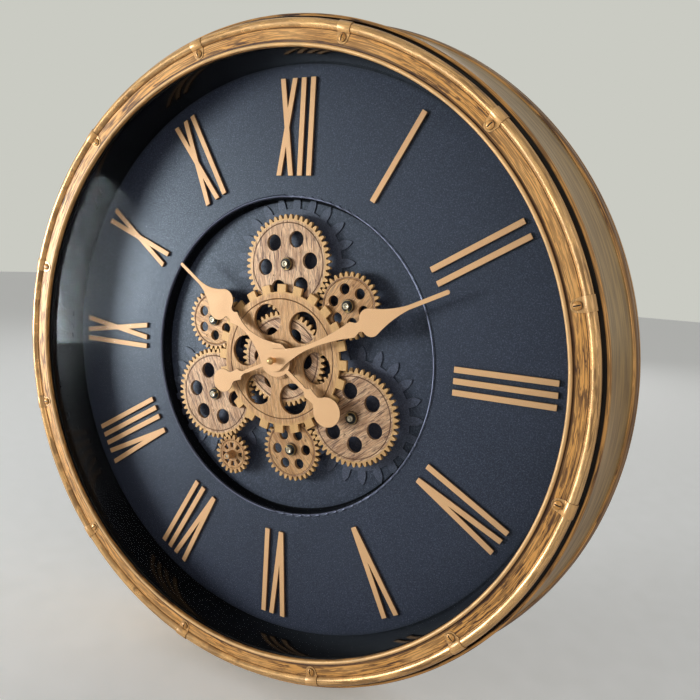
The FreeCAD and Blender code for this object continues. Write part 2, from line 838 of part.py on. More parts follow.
def glass_gasket():
    inner = S["glass_radius"] - S["gasket_width"]
    return turned_part("glass_gasket", [
        (inner, S["wall_front"]), (S["glass_radius"], S["wall_front"]), (S["glass_radius"], S["glass_back"]),
        (inner, S["glass_back"]),
    ])


def inner_wall():
    sheet_metal = S["wall_sheet"]
    return turned_part("inner_wall", [
        (S["wall_back_radius"], S["dial_face"]),
        (S["wall_back_radius"] + sheet_metal, S["dial_face"]),
        (S["wall_front_radius"] + sheet_metal, S["wall_front"] - sheet_metal),
        (S["glass_radius"], S["wall_front"] - sheet_metal),
        (S["glass_radius"], S["wall_front"]),
        (S["wall_front_radius"], S["wall_front"]),
    ])


def dial_plate():
    body = new_body("dial_plate")
    revolve(body, "Revolution", [
        (S["recess_radius"], S["dial_back"]),
        (S["dial_radius"], S["dial_back"]),
        (S["dial_radius"], S["dial_face"]),
        (S["recess_radius"] + 2 * S["recess_roll"], S["dial_face"]),
        (S["recess_radius"] + S["recess_roll"], S["dial_face"] + S["recess_roll_rise"], True),
        (S["recess_radius"], S["dial_face"]),
    ])
    studs = pad(body, circles([(S["stud_circle"], 0, S["stud_radius"])]), S["dial_back"] - S["stud_length"],
                S["stud_length"])
    repeat(body, [studs], S["pan_studs"])
    posts = pad(body, circles([(S["standoff_circle"], 0, S["standoff_bore_radius"])]),
                S["dial_back"] - S["standoff_stud_length"], S["standoff_stud_length"])
    repeat(body, [posts], S["standoffs"])
    return stand_up(body)


def drive_place():
    """Axis of the drive pinion, from the left wheel that it turns."""
    reach = (pitch_radius(S["wheel_teeth"]) + pitch_radius(S["pinion_teeth"]))
    wheel_angle = S["post_first"] + 360 / S["wheels_round"]
    x = S["wheel_ring_radius"] * cosine(wheel_angle) + reach * cosine(S["pinion_direction"])
    y = S["wheel_ring_radius"] * sine(wheel_angle) + reach * sine(S["pinion_direction"])
    return x, y


def idler_ring_radius():
    """Distance of the small gears from the clock's axis, so that each meshes with its wheel."""
    reach = pitch_radius(S["wheel_teeth"]) + pitch_radius(S["idler_teeth"])
    along = S["wheel_ring_radius"] * cosine(S["idler_lead"])
    across = S["wheel_ring_radius"] * sine(S["idler_lead"])
    inside = reach * reach - across * across
    return along + square_root(inside)


def post_places():
    wheel = polar(S["wheel_ring_radius"], S["post_first"])
    idler = polar(idler_ring_radius(), S["post_first"] + S["idler_lead"])
    return wheel, idler


def recess_pan():
    outer = S["pan_bore"] + S["pan_sheet"]
    body = new_body("recess_pan")
    revolve(body, "Revolution", [
        (S["neck_radius"] + S["running_fit"], S["pan_back"]),
        (outer, S["pan_back"]),
        (outer, S["dial_back"] - S["pan_sheet"]),
        (outer + S["pan_flange"], S["dial_back"] - S["pan_sheet"]),
        (outer + S["pan_flange"], S["dial_back"]),
        (S["pan_bore"], S["dial_back"]),
        (S["pan_bore"], S["pan_floor"]),
        (S["neck_radius"] + S["running_fit"], S["pan_floor"]),
    ])
    wheel, idler = post_places()
    posts = pocket(body, circles([wheel + (S["post_radius"],), idler + (S["post_radius"],)]), S["pan_floor"],
                   S["pan_sheet"])
    repeat(body, [posts], S["wheels_round"])
    stud_hole = S["stud_radius"] + S["stud_fit"]
    flange_holes = pocket(body, circles([(S["stud_circle"], 0, stud_hole)]), S["dial_back"], S["pan_sheet"])
    repeat(body, [flange_holes], S["pan_studs"])
    drive_x, drive_y = drive_place()
    pocket(body, circles([(drive_x, drive_y, S["drive_shaft_radius"] + S["stud_fit"])]), S["pan_floor"],
           S["pan_sheet"])
    pad(body, circles([(x, y, S["stud_radius"]) for x, y in drive_studs()]), S["pan_back"] - S["stud_length"],
        S["stud_length"])
    return stand_up(body)


def relief_gears():
    """Three raised rings of leaf-shaped teeth on the pan's floor, one behind each wheel."""
    half = S["relief_tooth_width"] / 2
    ring = S["wheel_ring_radius"]
    shoulder = S["relief_shoulder_radius"]
    leaf = shoulder + S["relief_tooth_point"] * S["leaf_along_share"]
    leaf_half = half * S["leaf_half_share"]
    height = S["relief_height"]
    post_hole = S["post_collar_radius"] + S["relief_hole_fit"]
    trees = []
    for k in range(COUNTS["wheels_round"]):
        body = new_body("relief_gear_%d" % k)
        pad(body, circles([(0, 0, S["relief_disc_radius"])]), S["pan_floor"], height)
        tooth = pad(body, polygon([
            (S["relief_disc_radius"] - height, -half), (shoulder, -half), (leaf, -leaf_half, True),
            (S["relief_tip_radius"], 0), (leaf, leaf_half, True), (shoulder, half),
            (S["relief_disc_radius"] - height, half),
        ]), S["pan_floor"], height)
        repeat(body, [tooth], S["relief_teeth"])
        pocket(body, circles([(0, 0, post_hole)]), S["pan_floor"] + height, height)
        trim = circles([(-ring, 0, S["pan_bore"] - S["relief_wall_gap"]), (-ring, 0, 2 * S["recess_radius"])])
        pocket(body, trim, S["pan_floor"] + height, height)
        if k == 1:
            away = S["pinion_direction"] - S["post_first"] - 360 / S["wheels_round"]
            reach = pitch_radius(S["wheel_teeth"]) + pitch_radius(S["pinion_teeth"])
            x, y = polar(reach, away)
            pocket(body, circles([(x, y, post_hole)]), S["pan_floor"] + height, height)
        angle = S["post_first"] + k * 360 / S["wheels_round"]
        turn = FreeCAD.Rotation(FreeCAD.Vector(0, 0, 1), plain(angle))
        x, y = polar(ring, angle)
        body.Placement = FreeCAD.Placement(FreeCAD.Vector(plain(x), plain(y), 0), turn)
        trees.append(body)
    group = document.addObject("Part::Compound", "relief_gears")
    group.Label = "relief_gears"
    group.Links = trees
    return stand_up(group)


def numeral(name, shift_share, hour):
    """A Roman numeral of flat bars, read with its head towards the rim."""
    low = S["numeral_inner_radius"]
    high = low + S["numeral_length"]
    fork = S["numeral_fork_half"]
    strokes = []
    place = as_size(0)
    previous = ""
    for letter in name:
        if previous:
            bar_step = S["numeral_pair_pitch"] if name == "ii" else S["numeral_bar_pitch"]
            both_bars = letter == "i" and previous == "i"
            place = place + (bar_step if both_bars else S["numeral_fork_pitch"])
        if letter == "i":
            strokes.append((place, place))
        else:
            foot = fork if letter == "x" else as_size(0)
            strokes.append((place - foot, place + fork))
            strokes.append((place + foot, place - fork))
        previous = letter
    heads = [stroke[1] for stroke in strokes] + [stroke[0] for stroke in strokes]
    left = min(heads, key=plain)
    right = max(heads, key=plain)
    centre = (left + right) / 2 - S["numeral_length"] * shift_share
    half = S["numeral_bar"] / 2
    body = new_body("numeral_" + name)
    for foot, head in strokes:
        pad(body, polygon([
            (foot - centre - half, low), (foot - centre + half, low),
            (head - centre + half, high), (head - centre - half, high),
        ]), S["dial_face"], S["numeral_height"])
    return stand_up(body, -360 * hour / COUNTS["hours"])


def gear_posts():
    """Six riveted steel pins, each with a collar that its gear rests on."""
    wheel, idler = post_places()
    body = new_body("gear_posts")
    levels = [
        (S["pan_back"] - S["post_rivet_height"], S["pan_back"], S["post_rivet_radius"]),
        (S["pan_back"], S["pan_floor"], S["post_radius"]),
        (S["pan_floor"], S["gear_back"] - S["end_play"], S["post_collar_radius"]),
        (S["gear_back"] - S["end_play"], S["gear_face"] + S["post_tip_rise"], S["post_radius"]),
    ]
    pads = [pad(body, circles([wheel + (radius,), idler + (radius,)]), low, high - low)
            for low, high, radius in levels]
    repeat(body, pads, S["wheels_round"])
    return stand_up(body)


def retaining_clips():
    wheel, idler = post_places()
    low = S["hub_top"] + S["end_play"]
    outer = S["clip_ring_radius"]
    body = new_body("retaining_clips")
    rings = pad(body, circles([wheel + (outer,), wheel + (S["post_radius"],), idler + (outer,),
                               idler + (S["post_radius"],)]), low, S["clip_ring_thickness"])
    half = S["clip_ring_mouth"] / 2
    mouths = []
    for x, y in (wheel, idler):
        mouths.append(pocket(body, rectangle(x - half, y - outer - half, x + half, y),
                             low + S["clip_ring_thickness"], S["clip_ring_thickness"]))
    repeat(body, [rings] + mouths, S["wheels_round"])
    return stand_up(body)


def centre_sleeve():
    bore = S["sleeve_bore"]
    flange_top = S["pan_floor"] + S["sleeve_flange_height"]
    shoulder = S["gear_back"] - S["end_play"]
    return turned_part("centre_sleeve", [
        (bore, S["pan_floor"]), (S["sleeve_flange_radius"], S["pan_floor"]),
        (S["sleeve_flange_radius"], flange_top),
        (S["sleeve_shoulder_radius"], flange_top), (S["sleeve_shoulder_radius"], shoulder),
        (S["sleeve_radius"], shoulder), (S["sleeve_radius"], S["sleeve_top"]), (bore, S["sleeve_top"]),
    ])


def neck_nut():
    body = new_body("neck_nut")
    pad(body, circles([(0, 0, S["neck_washer_radius"]), (0, 0, S["neck_radius"])]), S["sleeve_top"],
        S["neck_washer_height"])

    def flats(sketch):
        draw_outline(sketch, hexagon(0, 0, S["neck_nut_width"]))
        draw_circle(sketch, 0, 0, S["neck_radius"])

    pad(body, flats, S["sleeve_top"] + S["neck_washer_height"], S["neck_nut_height"])
    return stand_up(body)


def movement_neck():
    bore = S["neck_bore"]
    foot = S["pan_back"] - S["neck_foot_height"]
    top = S["sleeve_top"] + S["neck_washer_height"] + S["neck_nut_height"]
    return turned_part("movement_neck", [
        (bore, foot), (S["neck_foot_radius"], foot), (S["neck_foot_radius"], S["pan_back"]),
        (S["neck_radius"], S["pan_back"]), (S["neck_radius"], top), (bore, top),
    ])


def unit_case(label, x, y, lugs):
    """Shell of a battery unit: a closed room round the shaft and an open battery bay below it."""
    wide = S["unit_width"] / 2
    top = y + S["unit_body"] - S["unit_shaft_drop"]
    split = top - S["unit_body"]
    bottom = split - S["unit_bay"]
    wall = S["unit_wall"]
    body = new_body(label)
    pad(body, rectangle(x - wide, bottom, x + wide, top), S["unit_back"], S["unit_depth"])
    lug = S["unit_lug"] / 2
    for side_x, side_y in lugs:
        outward = -1 if plain(side_x) < plain(x) else 1
        pad(body, polygon([
            (side_x - 2 * outward * lug, side_y - lug), (side_x, side_y - lug),
            (side_x + outward * lug, side_y, True), (side_x, side_y + lug),
            (side_x - 2 * outward * lug, side_y + lug),
        ]), S["pan_back"] - S["unit_lug_sheet"], S["unit_lug_sheet"])
    bay_depth = S["unit_depth"] - wall
    room_depth = bay_depth - S["neck_foot_height"]
    pocket(body, rectangle(x - wide + wall, split + wall, x + wide - wall, top - wall),
           S["unit_back"] + room_depth, room_depth)
    pocket(body, rectangle(x - wide + wall, bottom + wall, x + wide - wall, split),
           S["unit_back"] + bay_depth, bay_depth)
    return body


def drive_studs():
    """Two studs on the pan's back, beside the drive unit."""
    x, y = drive_place()
    reach = (S["unit_width"] + S["unit_lug"]) / 2
    level = y + S["unit_body"] / 2 - S["unit_shaft_drop"]
    return [(x - reach, level), (x + reach, level)]


def movement_case():
    body = unit_case("movement_case", as_size(0), as_size(0), [])
    neck_hole = S["neck_foot_radius"] + S["running_fit"]
    pocket(body, circles([(0, 0, neck_hole)]), S["pan_back"], S["unit_depth"] / 2)
    return stand_up(body)


def drive_case():
    x, y = drive_place()
    body = unit_case("drive_case", x, y, drive_studs())
    bore = S["drive_shaft_radius"] + S["running_fit"]
    pocket(body, circles([(x, y, bore)]), S["pan_back"], S["unit_depth"] / 2)
    hole = S["stud_radius"] + S["stud_fit"]
    pocket(body, circles([(stud_x, stud_y, hole) for stud_x, stud_y in drive_studs()]), S["pan_back"],
           S["unit_lug_sheet"])
    return stand_up(body)


def unit_cover(label, x, y, hole_at=None):
    """Lid pressed into the back of a battery unit's closed room."""
    inside = S["unit_wall"] + S["stud_fit"]
    wide = S["unit_width"] / 2 - inside
    top = y + S["unit_body"] - S["unit_shaft_drop"] - inside
    bottom = y - S["unit_shaft_drop"] + inside
    body = new_body(label)
    pad(body, rectangle(x - wide, bottom, x + wide, top), S["unit_back"], S["unit_cover"])
    if hole_at is not None:
        hole = S["knob_stem_radius"] + S["running_fit"]
        pocket(body, circles([(hole_at, hole_at, hole)]), S["unit_back"] + S["unit_cover"], S["unit_cover"])
    return stand_up(body)


def unit_battery(label, x, y):
    """Round cell lying across the bay, its button to the right."""
    centre_y = y - S["unit_shaft_drop"] - S["unit_bay"] / 2 + S["unit_wall"] / 2
    depth = S["unit_back"] + S["battery_radius"] + S["stud_fit"]
    body = new_body(label)
    sketch = new_sketch(body, "XZ_Plane")
    half = S["battery_length"] / 2
    draw_outline(sketch, [
        (-half, 0), (half + S["battery_button_length"], 0),
        (half + S["battery_button_length"], S["battery_button_radius"]), (half, S["battery_button_radius"]),
        (half, S["battery_radius"]), (-half, S["battery_radius"]),
    ])
    feature = body.newObject("PartDesign::Revolution", label + "_turned")
    feature.Profile = sketch
    feature.ReferenceAxis = (sketch, ["H_Axis"])
    feature.Angle = 360
    body.Tip = feature
    return stand_up(body, 0, x, centre_y, depth)


def plain_nuts():
    """Small nuts on the studs that hold the pan and the drive unit."""
    body = new_body("dial_nuts")
    height = S["nut_height"]

    def nut_at(x, y):
        def draw(sketch):
            draw_outline(sketch, hexagon(x, y, S["nut_width"]))
            draw_circle(sketch, x, y, S["stud_radius"])
        return draw

    first = pad(body, nut_at(S["stud_circle"], 0), S["dial_back"] - S["pan_sheet"] - height, height)
    repeat(body, [first], S["pan_studs"])
    for x, y in drive_studs():
        pad(body, nut_at(x, y), S["pan_back"] - S["unit_lug_sheet"] - height, height)
    return stand_up(body)


def standoffs():
    body = new_body("standoffs")
    low = S["panel_sheet"]
    circle = S["standoff_circle"]
    tube = circles([(circle, 0, S["standoff_radius"]), (circle, 0, S["standoff_bore_radius"])])
    ring = pad(body, tube, low, S["dial_back"] - low)
    repeat(body, [ring], S["standoffs"])
    return stand_up(body)


def countersunk_outline(length, shank):
    head = S["countersunk_head_radius"]
    return [(0, 0), (head, 0), (shank, S["countersunk_head_height"]), (shank, length), (0, length)]


def countersunk_screws(label, circle, length, shank, count):
    body = new_body(label)
    screw = revolve(body, "Revolution", countersunk_outline(length, shank), axis_at=circle)
    repeat(body, [screw], count)
    return stand_up(body)


def back_panel():
    inner = S["case_radius"] - S["flange_width"]
    outer = inner + S["panel_seat"] - S["panel_fit"]
    body = new_body("back_panel")
    revolve(body, "Revolution", [(0, 0), (outer, 0), (outer, S["panel_sheet"]), (0, S["panel_sheet"])])
    for circle, shank, count in (
            (S["panel_screw_circle"], S["countersunk_shank_radius"], S["panel_screws"]),
            (S["standoff_circle"], S["standoff_bore_radius"], S["standoffs"])):
        holes = revolve(body, "Groove", countersunk_outline(S["panel_sheet"], shank), axis_at=circle)
        repeat(body, [holes], count)
    wide = S["hanger_window_width"] / 2
    low = S["hanger_place"] - S["hanger_window_tall"] / 2
    pocket(body, rectangle(-wide, low, wide, low + S["hanger_window_tall"]), S["panel_sheet"],
           S["panel_sheet"])
    pitch = S["hanger_screw_pitch"] / 2
    pocket(body, circles([(side * pitch, S["hanger_place"], S["stud_radius"]) for side in (-1, 1)]),
           S["panel_sheet"], S["panel_sheet"])
    reach = S["unit_width"] / 2 + S["panel_window_margin"]
    for x, y in ((as_size(0), as_size(0)), drive_place()):
        upper = y - S["unit_shaft_drop"] + S["panel_window_margin"]
        lower = y - S["unit_shaft_drop"] - S["unit_bay"] - S["panel_window_margin"]
        pocket(body, rectangle(x - reach, lower, x + reach, upper), S["panel_sheet"], S["panel_sheet"])
    pocket(body, circles([(S["knob_place"], S["knob_place"], S["knob_hole_radius"])]), S["panel_sheet"],
           S["panel_sheet"])
    return stand_up(body)


def hanger_plate():
    """Steel plate behind the panel's window, with the keyhole that the clock hangs from."""
    low = S["panel_sheet"]
    wide = S["hanger_width"] / 2
    tall = S["hanger_tall"] / 2
    place = S["hanger_place"]
    mouth = place - S["keyhole_rise"] / 2
    slot = S["keyhole_slot_radius"]
    top = low + S["hanger_sheet"]
    body = new_body("hanger_plate")
    pad(body, rectangle(-wide, place - tall, wide, place + tall), low, S["hanger_sheet"])
    pocket(body, circles([(0, mouth, S["keyhole_radius"])]), top, S["hanger_sheet"])
    slot_top = mouth + S["keyhole_rise"]
    pocket(body, polygon([(-slot, mouth), (slot, mouth), (slot, slot_top), (0, slot_top + slot, True),
                          (-slot, slot_top)]), top, S["hanger_sheet"])
    pitch = S["hanger_screw_pitch"] / 2
    pocket(body, circles([(side * pitch, place, S["stud_radius"]) for side in (-1, 1)]), top,
           S["hanger_sheet"])
    return stand_up(body)


def hanger_screws():
    pitch = S["hanger_screw_pitch"] / 2
    top = S["panel_sheet"] + S["hanger_sheet"]
    places = [(side * pitch, S["hanger_place"]) for side in (-1, 1)]
    body = new_body("hanger_screws")
    pad(body, circles([place + (S["stud_radius"],) for place in places]), S["glass_fit"],
        top - S["glass_fit"])
    pad(body, circles([place + (S["hanger_screw_head_radius"],) for place in places]), top,
        S["hanger_screw_head_height"])
    return stand_up(body)


def tooth_gap(root, pitch, tip, teeth):
    """Outline of the gap between two teeth, centred on +X; the flanks lean like worn involutes."""
    shares = [(root, S["gap_root_share"]), (pitch, S["gap_pitch_share"]), (tip, S["gap_tip_share"]),
              (tip + S["tooth_overrun"], S["gap_tip_share"])]
    upper = [polar(radius, 180 * share / teeth) for radius, share in shares]
    lower = [polar(radius, -180 * share / teeth) for radius, share in shares]
    return polygon(lower + upper[::-1])


def root_radius(teeth):
    return pitch_radius(teeth) - S["gear_dedendum"]


def round_holes(teeth):
    """Outline of the lightening hole that a gear's face is drilled with all round."""
    root = root_radius(teeth)
    return circles([(root * S["hole_circle_share"], 0, root * S["hole_share"])])


def fine_gear(label, teeth, section, hole, hole_count, pip_share=None):
    """A fine-toothed gear: turned blank, tooth gaps, lightening holes and two small round marks."""
    pitch = pitch_radius(teeth)
    tip = pitch + S["gear_addendum"]
    root = root_radius(teeth)
    body = new_body(label)
    revolve(body, "Revolution", section(tip, root * S["line_share"]))
    through = S["gear_thickness"] + S["tooth_overrun"]
    cut_top = S["gear_face"] + S["tooth_overrun"] / 2
    gap = pocket(body, tooth_gap(root, pitch, tip, teeth), cut_top, through)
    repeat(body, [gap], teeth)
    first_hole = pocket(body, hole, cut_top, through)
    repeat(body, [first_hole], hole_count)
    if pip_share is not None:
        x, y = polar(root * pip_share, 180 / hole_count)
        pocket(body, circles([(x, y, S["gear_pip_radius"]), (-x, -y, S["gear_pip_radius"])]),
               S["gear_face"], S["gear_pip_depth"])
    return body


def gear_blank(bore, hub_radius, hub_rise, hub_tip_radius=None):
    """Section of a gear blank with a raised hub and a fine engraved ring on its face."""
    back, face = S["gear_back"], S["gear_face"]
    half = S["gear_line_width"] / 2
    crown = hub_tip_radius if hub_tip_radius is not None else hub_radius

    def section(tip, line):
        return [
            (bore, back), (tip, back), (tip, face), (line + half, face),
            (line, face - S["gear_line_depth"]), (line - half, face), (hub_radius, face),
            (crown, face + hub_rise), (bore, face + hub_rise),
        ]
    return section


def mesh_turn(turn, teeth, direction, other_teeth, wanted):
    """Turn of a gear that puts its gap on the tooth of the gear it meshes with.

    Both gears have a gap on their own +X at no turn. The turn nearest to the wanted one is given.
    """
    pitch = 360 / plain(teeth)
    other_pitch = 360 / plain(other_teeth)
    phase = 0.5 - (plain(direction) - turn) / pitch
    other = plain(direction) + 180 - phase * other_pitch
    return other + round((wanted - other) / other_pitch) * other_pitch


def wheel(label, bore, hub_radius, hub_rise):
    teeth = S["wheel_teeth"]
    return fine_gear(label, teeth, gear_blank(bore, hub_radius, hub_rise), round_holes(teeth),
                     S["gear_holes"], S["wheel_pip_share"])


def drive_pinion(wheel_turn):
    """Small gear on the drive unit's shaft, with wedge-shaped windows and a tall tapered hub."""
    teeth = S["pinion_teeth"]
    root = root_radius(teeth)
    inner, outer = root * S["window_inner_share"], root * S["window_outer_share"]
    half = S["pinion_window_half"]
    window = polygon([polar(inner, -half), polar(outer, -half), polar(outer, half), polar(inner, half)])
    blank = gear_blank(S["drive_shaft_radius"], S["pinion_hub_radius"], S["pinion_hub_rise"],
                       S["pinion_hub_tip_radius"])
    pinion = fine_gear("drive_pinion", teeth, blank, window, S["pinion_windows"])
    turn = mesh_turn(wheel_turn, S["wheel_teeth"], S["pinion_direction"], teeth, 0)
    return stand_up(pinion, turn, *drive_place())


def gear_train():
    """The centre gear, three wheels round it, a small gear on each wheel and the drive pinion."""
    wheel_teeth, idler_teeth = S["wheel_teeth"], S["idler_teeth"]
    centre_turn = ANGLES["centre_gear_turn"]
    centre = wheel("centre_gear", S["sleeve_gear_bore"], S["front_gear_crown_radius"], S["front_gear_gap"])
    stand_up(centre, centre_turn)
    for k, (name, wanted, idler_name, idler_wanted) in enumerate(TRAIN):
        angle = S["post_first"] + k * 360 / S["wheels_round"]
        turn = mesh_turn(centre_turn, wheel_teeth, angle, wheel_teeth, wanted)
        x, y = polar(S["wheel_ring_radius"], angle)
        gear = wheel(name, S["post_bore"], S["gear_hub_radius"], S["gear_hub_rise"])
        stand_up(gear, turn, x, y)
        idler_x, idler_y = polar(idler_ring_radius(), angle + S["idler_lead"])
        direction = math.degrees(math.atan2(plain(idler_y - y), plain(idler_x - x)))
        blank = gear_blank(S["post_bore"], S["gear_hub_radius"], S["gear_hub_rise"])
        idler = fine_gear(idler_name, idler_teeth, blank, round_holes(idler_teeth), S["gear_holes"],
                          S["idler_pip_share"])
        stand_up(idler, mesh_turn(turn, wheel_teeth, direction, idler_teeth, idler_wanted), idler_x, idler_y)
        if name == "left_gear":
            drive_pinion(turn)


def drive_shaft():
    x, y = drive_place()
    body = new_body("drive_shaft")
    low = S["unit_back"] + S["unit_cover"] + S["unit_wall"]
    pad(body, circles([(0, 0, S["drive_shaft_radius"])]), low, S["drive_shaft_tip"] - low)
    return stand_up(body, 0, x, y)


def front_gear():
    """Coarse-toothed gear with a stepped boss, fixed in front of the centre gear."""
    teeth = S["front_gear_teeth"]
    tip, root = S["front_gear_tip_radius"], S["front_gear_root_radius"]
    line, half = S["front_gear_line_radius"], S["gear_line_width"] / 2
    body = new_body("front_gear")
    revolve(body, "Revolution", [
        (S["sleeve_gear_bore"], S["front_back"]), (tip, S["front_back"]), (tip, S["front_face"]),
        (line + half, S["front_face"]),
        (line, S["front_face"] - S["gear_line_depth"]), (line - half, S["front_face"]),
        (S["front_gear_boss_radius"], S["front_face"]), (S["front_gear_boss_radius"], S["boss_top"]),
        (S["front_gear_crown_radius"], S["boss_top"]), (S["front_gear_crown_radius"], S["crown_top"]),
        (S["sleeve_gear_bore"], S["crown_top"]),
    ])
    cut_top = S["front_face"] + S["tooth_overrun"] / 2
    through = S["front_gear_thickness"] + S["tooth_overrun"]
    over = tip + S["tooth_overrun"]
    root_half = 180 * S["front_gap_root_share"] / teeth
    tip_half = 180 * S["front_gap_tip_share"] / teeth
    gap = pocket(body, polygon([polar(root, -root_half), polar(over, -tip_half), polar(over, tip_half),
                                polar(root, root_half)]), cut_top, through)
    repeat(body, [gap], teeth)
    hole = pocket(body, circles([(root * S["front_hole_circle_share"], 0, root * S["front_hole_share"])]),
                  cut_top, through)
    repeat(body, [hole], S["gear_holes"])
    return stand_up(body, ANGLES["front_gear_turn"] - 180 / COUNTS["front_gear_teeth"])


def hand(label, shares, length, back, bore, turn):
    """A flat spade hand; its outline is mirrored about the line from its tail to its tip."""
    size = plain(length)
    points = [(along * size, half * size, middle) for along, half, middle in shares]
    edges = []
    for side in (1, -1):
        for k, (along, half, middle) in enumerate(points[:-1]):
            if middle:
                continue
            start = FreeCAD.Vector(along, side * half, 0)
            following = points[k + 1]
            bend = FreeCAD.Vector(following[0], side * following[1], 0)
            if following[2] and k + 2 < len(points):
                end = FreeCAD.Vector(points[k + 2][0], side * points[k + 2][1], 0)
                edges.append(Part.Arc(start, bend, end).toShape())
            elif following[2]:
                continue
            else:
                edges.append(Part.LineSegment(start, bend).toShape())
    tip_start = points[-2]
    edges.append(Part.Arc(FreeCAD.Vector(tip_start[0], tip_start[1], 0), FreeCAD.Vector(size, 0, 0),
                          FreeCAD.Vector(tip_start[0], -tip_start[1], 0)).toShape())
    face = Part.Face(Part.Wire(Part.sortEdges(edges)[0]))
    blade = face.extrude(FreeCAD.Vector(0, 0, plain(S["hand_sheet"])))
    hole = Part.makeCylinder(plain(bore), plain(S["hand_sheet"]))
    item = document.addObject("Part::Feature", label)
    item.Label = label
    item.Shape = blade.cut(hole)
    return stand_up(item, 90.0 + plain(turn), height=back)


def hour_tube():
    outer = S["hour_tube_radius"]
    inner = outer - S["hour_tube_wall"]
    low = S["unit_back"] + S["unit_cover"] + 2 * S["unit_wall"]
    top = S["hour_hand_back"] + S["hand_sheet"] + S["hand_tube_stand"]
    return turned_part("hour_tube", [(inner, low), (outer, low), (outer, top), (inner, top)])


def minute_arbor():
    radius = S["minute_arbor_radius"]
    low = S["unit_back"] + S["unit_cover"] + S["unit_wall"]
    top = S["minute_hand_back"] + S["hand_sheet"] + S["arbor_tip_rise"]
    return turned_part("minute_arbor", [(0, low), (radius, low), (radius, top), (0, top)])


def hand_nut():
    """Round-headed cap nut on a short stem, with a blind bore for the arbor."""
    low = S["minute_hand_back"] + S["hand_sheet"]
    bore = S["minute_arbor_radius"]
    bore_top = low + S["arbor_tip_rise"]
    top = low + S["hand_nut_height"]
    centre = top - S["hand_nut_radius"]
    ball, neck = S["hand_nut_radius"], S["hand_nut_neck"]
    stem = ball * sine(neck)
    return turned_part("hand_nut", [
        (bore, low), (stem, low), (stem, centre - ball * cosine(neck)), (ball, centre, True), (0, top),
        (0, bore_top), (bore, bore_top),
    ])


def set_knob():
    """Ribbed knob on the back of the movement that turns the hands."""
    top = S["unit_back"] - S["knob_gap"]
    low = top - S["knob_height"]
    body = new_body("set_knob")
    pad(body, circles([(0, 0, S["knob_radius"])]), low, S["knob_height"])
    rib = pocket(body, circles([(S["knob_radius"], 0, S["knob_rib"])]), top, S["knob_height"])
    repeat(body, [rib], S["knob_ribs"])
    stem = pad(body, circles([(0, 0, S["knob_stem_radius"])]), top, S["unit_cover"] + 2 * S["knob_gap"])
    body.Tip = stem
    return stand_up(body, 0, S["knob_place"], S["knob_place"])


def build():
    back_flange()
    side_band()
    front_rim()
    bezel_ring()
    bezel_bead()
    bead_clips()
    bezel_screws()
    glass_pane()
    glass_gasket()
    inner_wall()
    dial_plate()
    recess_pan()
    relief_gears()
    for hour, (name, shift_share) in enumerate(NUMERAL_SHIFT_SHARES):
        numeral(name, shift_share, hour)
    gear_posts()
    retaining_clips()
    centre_sleeve()
    neck_nut()
    movement_neck()
    movement_case()
    unit_cover("movement_cover", as_size(0), as_size(0), S["knob_place"])
    unit_battery("movement_battery", as_size(0), as_size(0))
    drive_case()
    unit_cover("drive_cover", *drive_place())
    unit_battery("drive_battery", *drive_place())
    plain_nuts()
    standoffs()
    countersunk_screws("standoff_screws", S["standoff_circle"], S["standoff_screw_length"],
                       S["standoff_bore_radius"], S["standoffs"])
    back_panel()
    countersunk_screws("panel_screws", S["panel_screw_circle"], S["panel_screw_length"],
                       S["countersunk_shank_radius"], S["panel_screws"])
    hanger_plate()
    hanger_screws()
    gear_train()
    drive_shaft()
    front_gear()
    hand("hour_hand", HOUR_HAND_SHARES, S["hour_hand_length"], S["hour_hand_back"], S["hour_tube_radius"],
         S["hour_hand_turn"])
    hour_tube()
    hand("minute_hand", MINUTE_HAND_SHARES, S["minute_hand_length"], S["minute_hand_back"],
         S["minute_arbor_radius"], S["minute_hand_turn"])
    minute_arbor()
    hand_nut()
    set_knob()


def check_and_export():
    document.recompute()
    for item in document.Objects:
        if "Invalid" in item.State or "Error" in item.State:
            raise RuntimeError("%s did not build: %s" % (item.Label, item.State))
    for item in parts:
        if item.Shape.isNull() or not item.Shape.isValid():
            raise RuntimeError("%s has no sound shape" % item.Label)
    os.makedirs("parts", exist_ok=True)
    for item in parts:
        item.Shape.exportStep("parts/%s.step" % item.Label)
    print("%d parts written" % len(parts))


build()
check_and_export()
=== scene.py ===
import json
import math

import bmesh
import bpy
from bpy.props import FloatProperty, FloatVectorProperty, IntProperty, PointerProperty
from bpy.types import Operator, Panel, PropertyGroup
from mathutils import Matrix, Vector


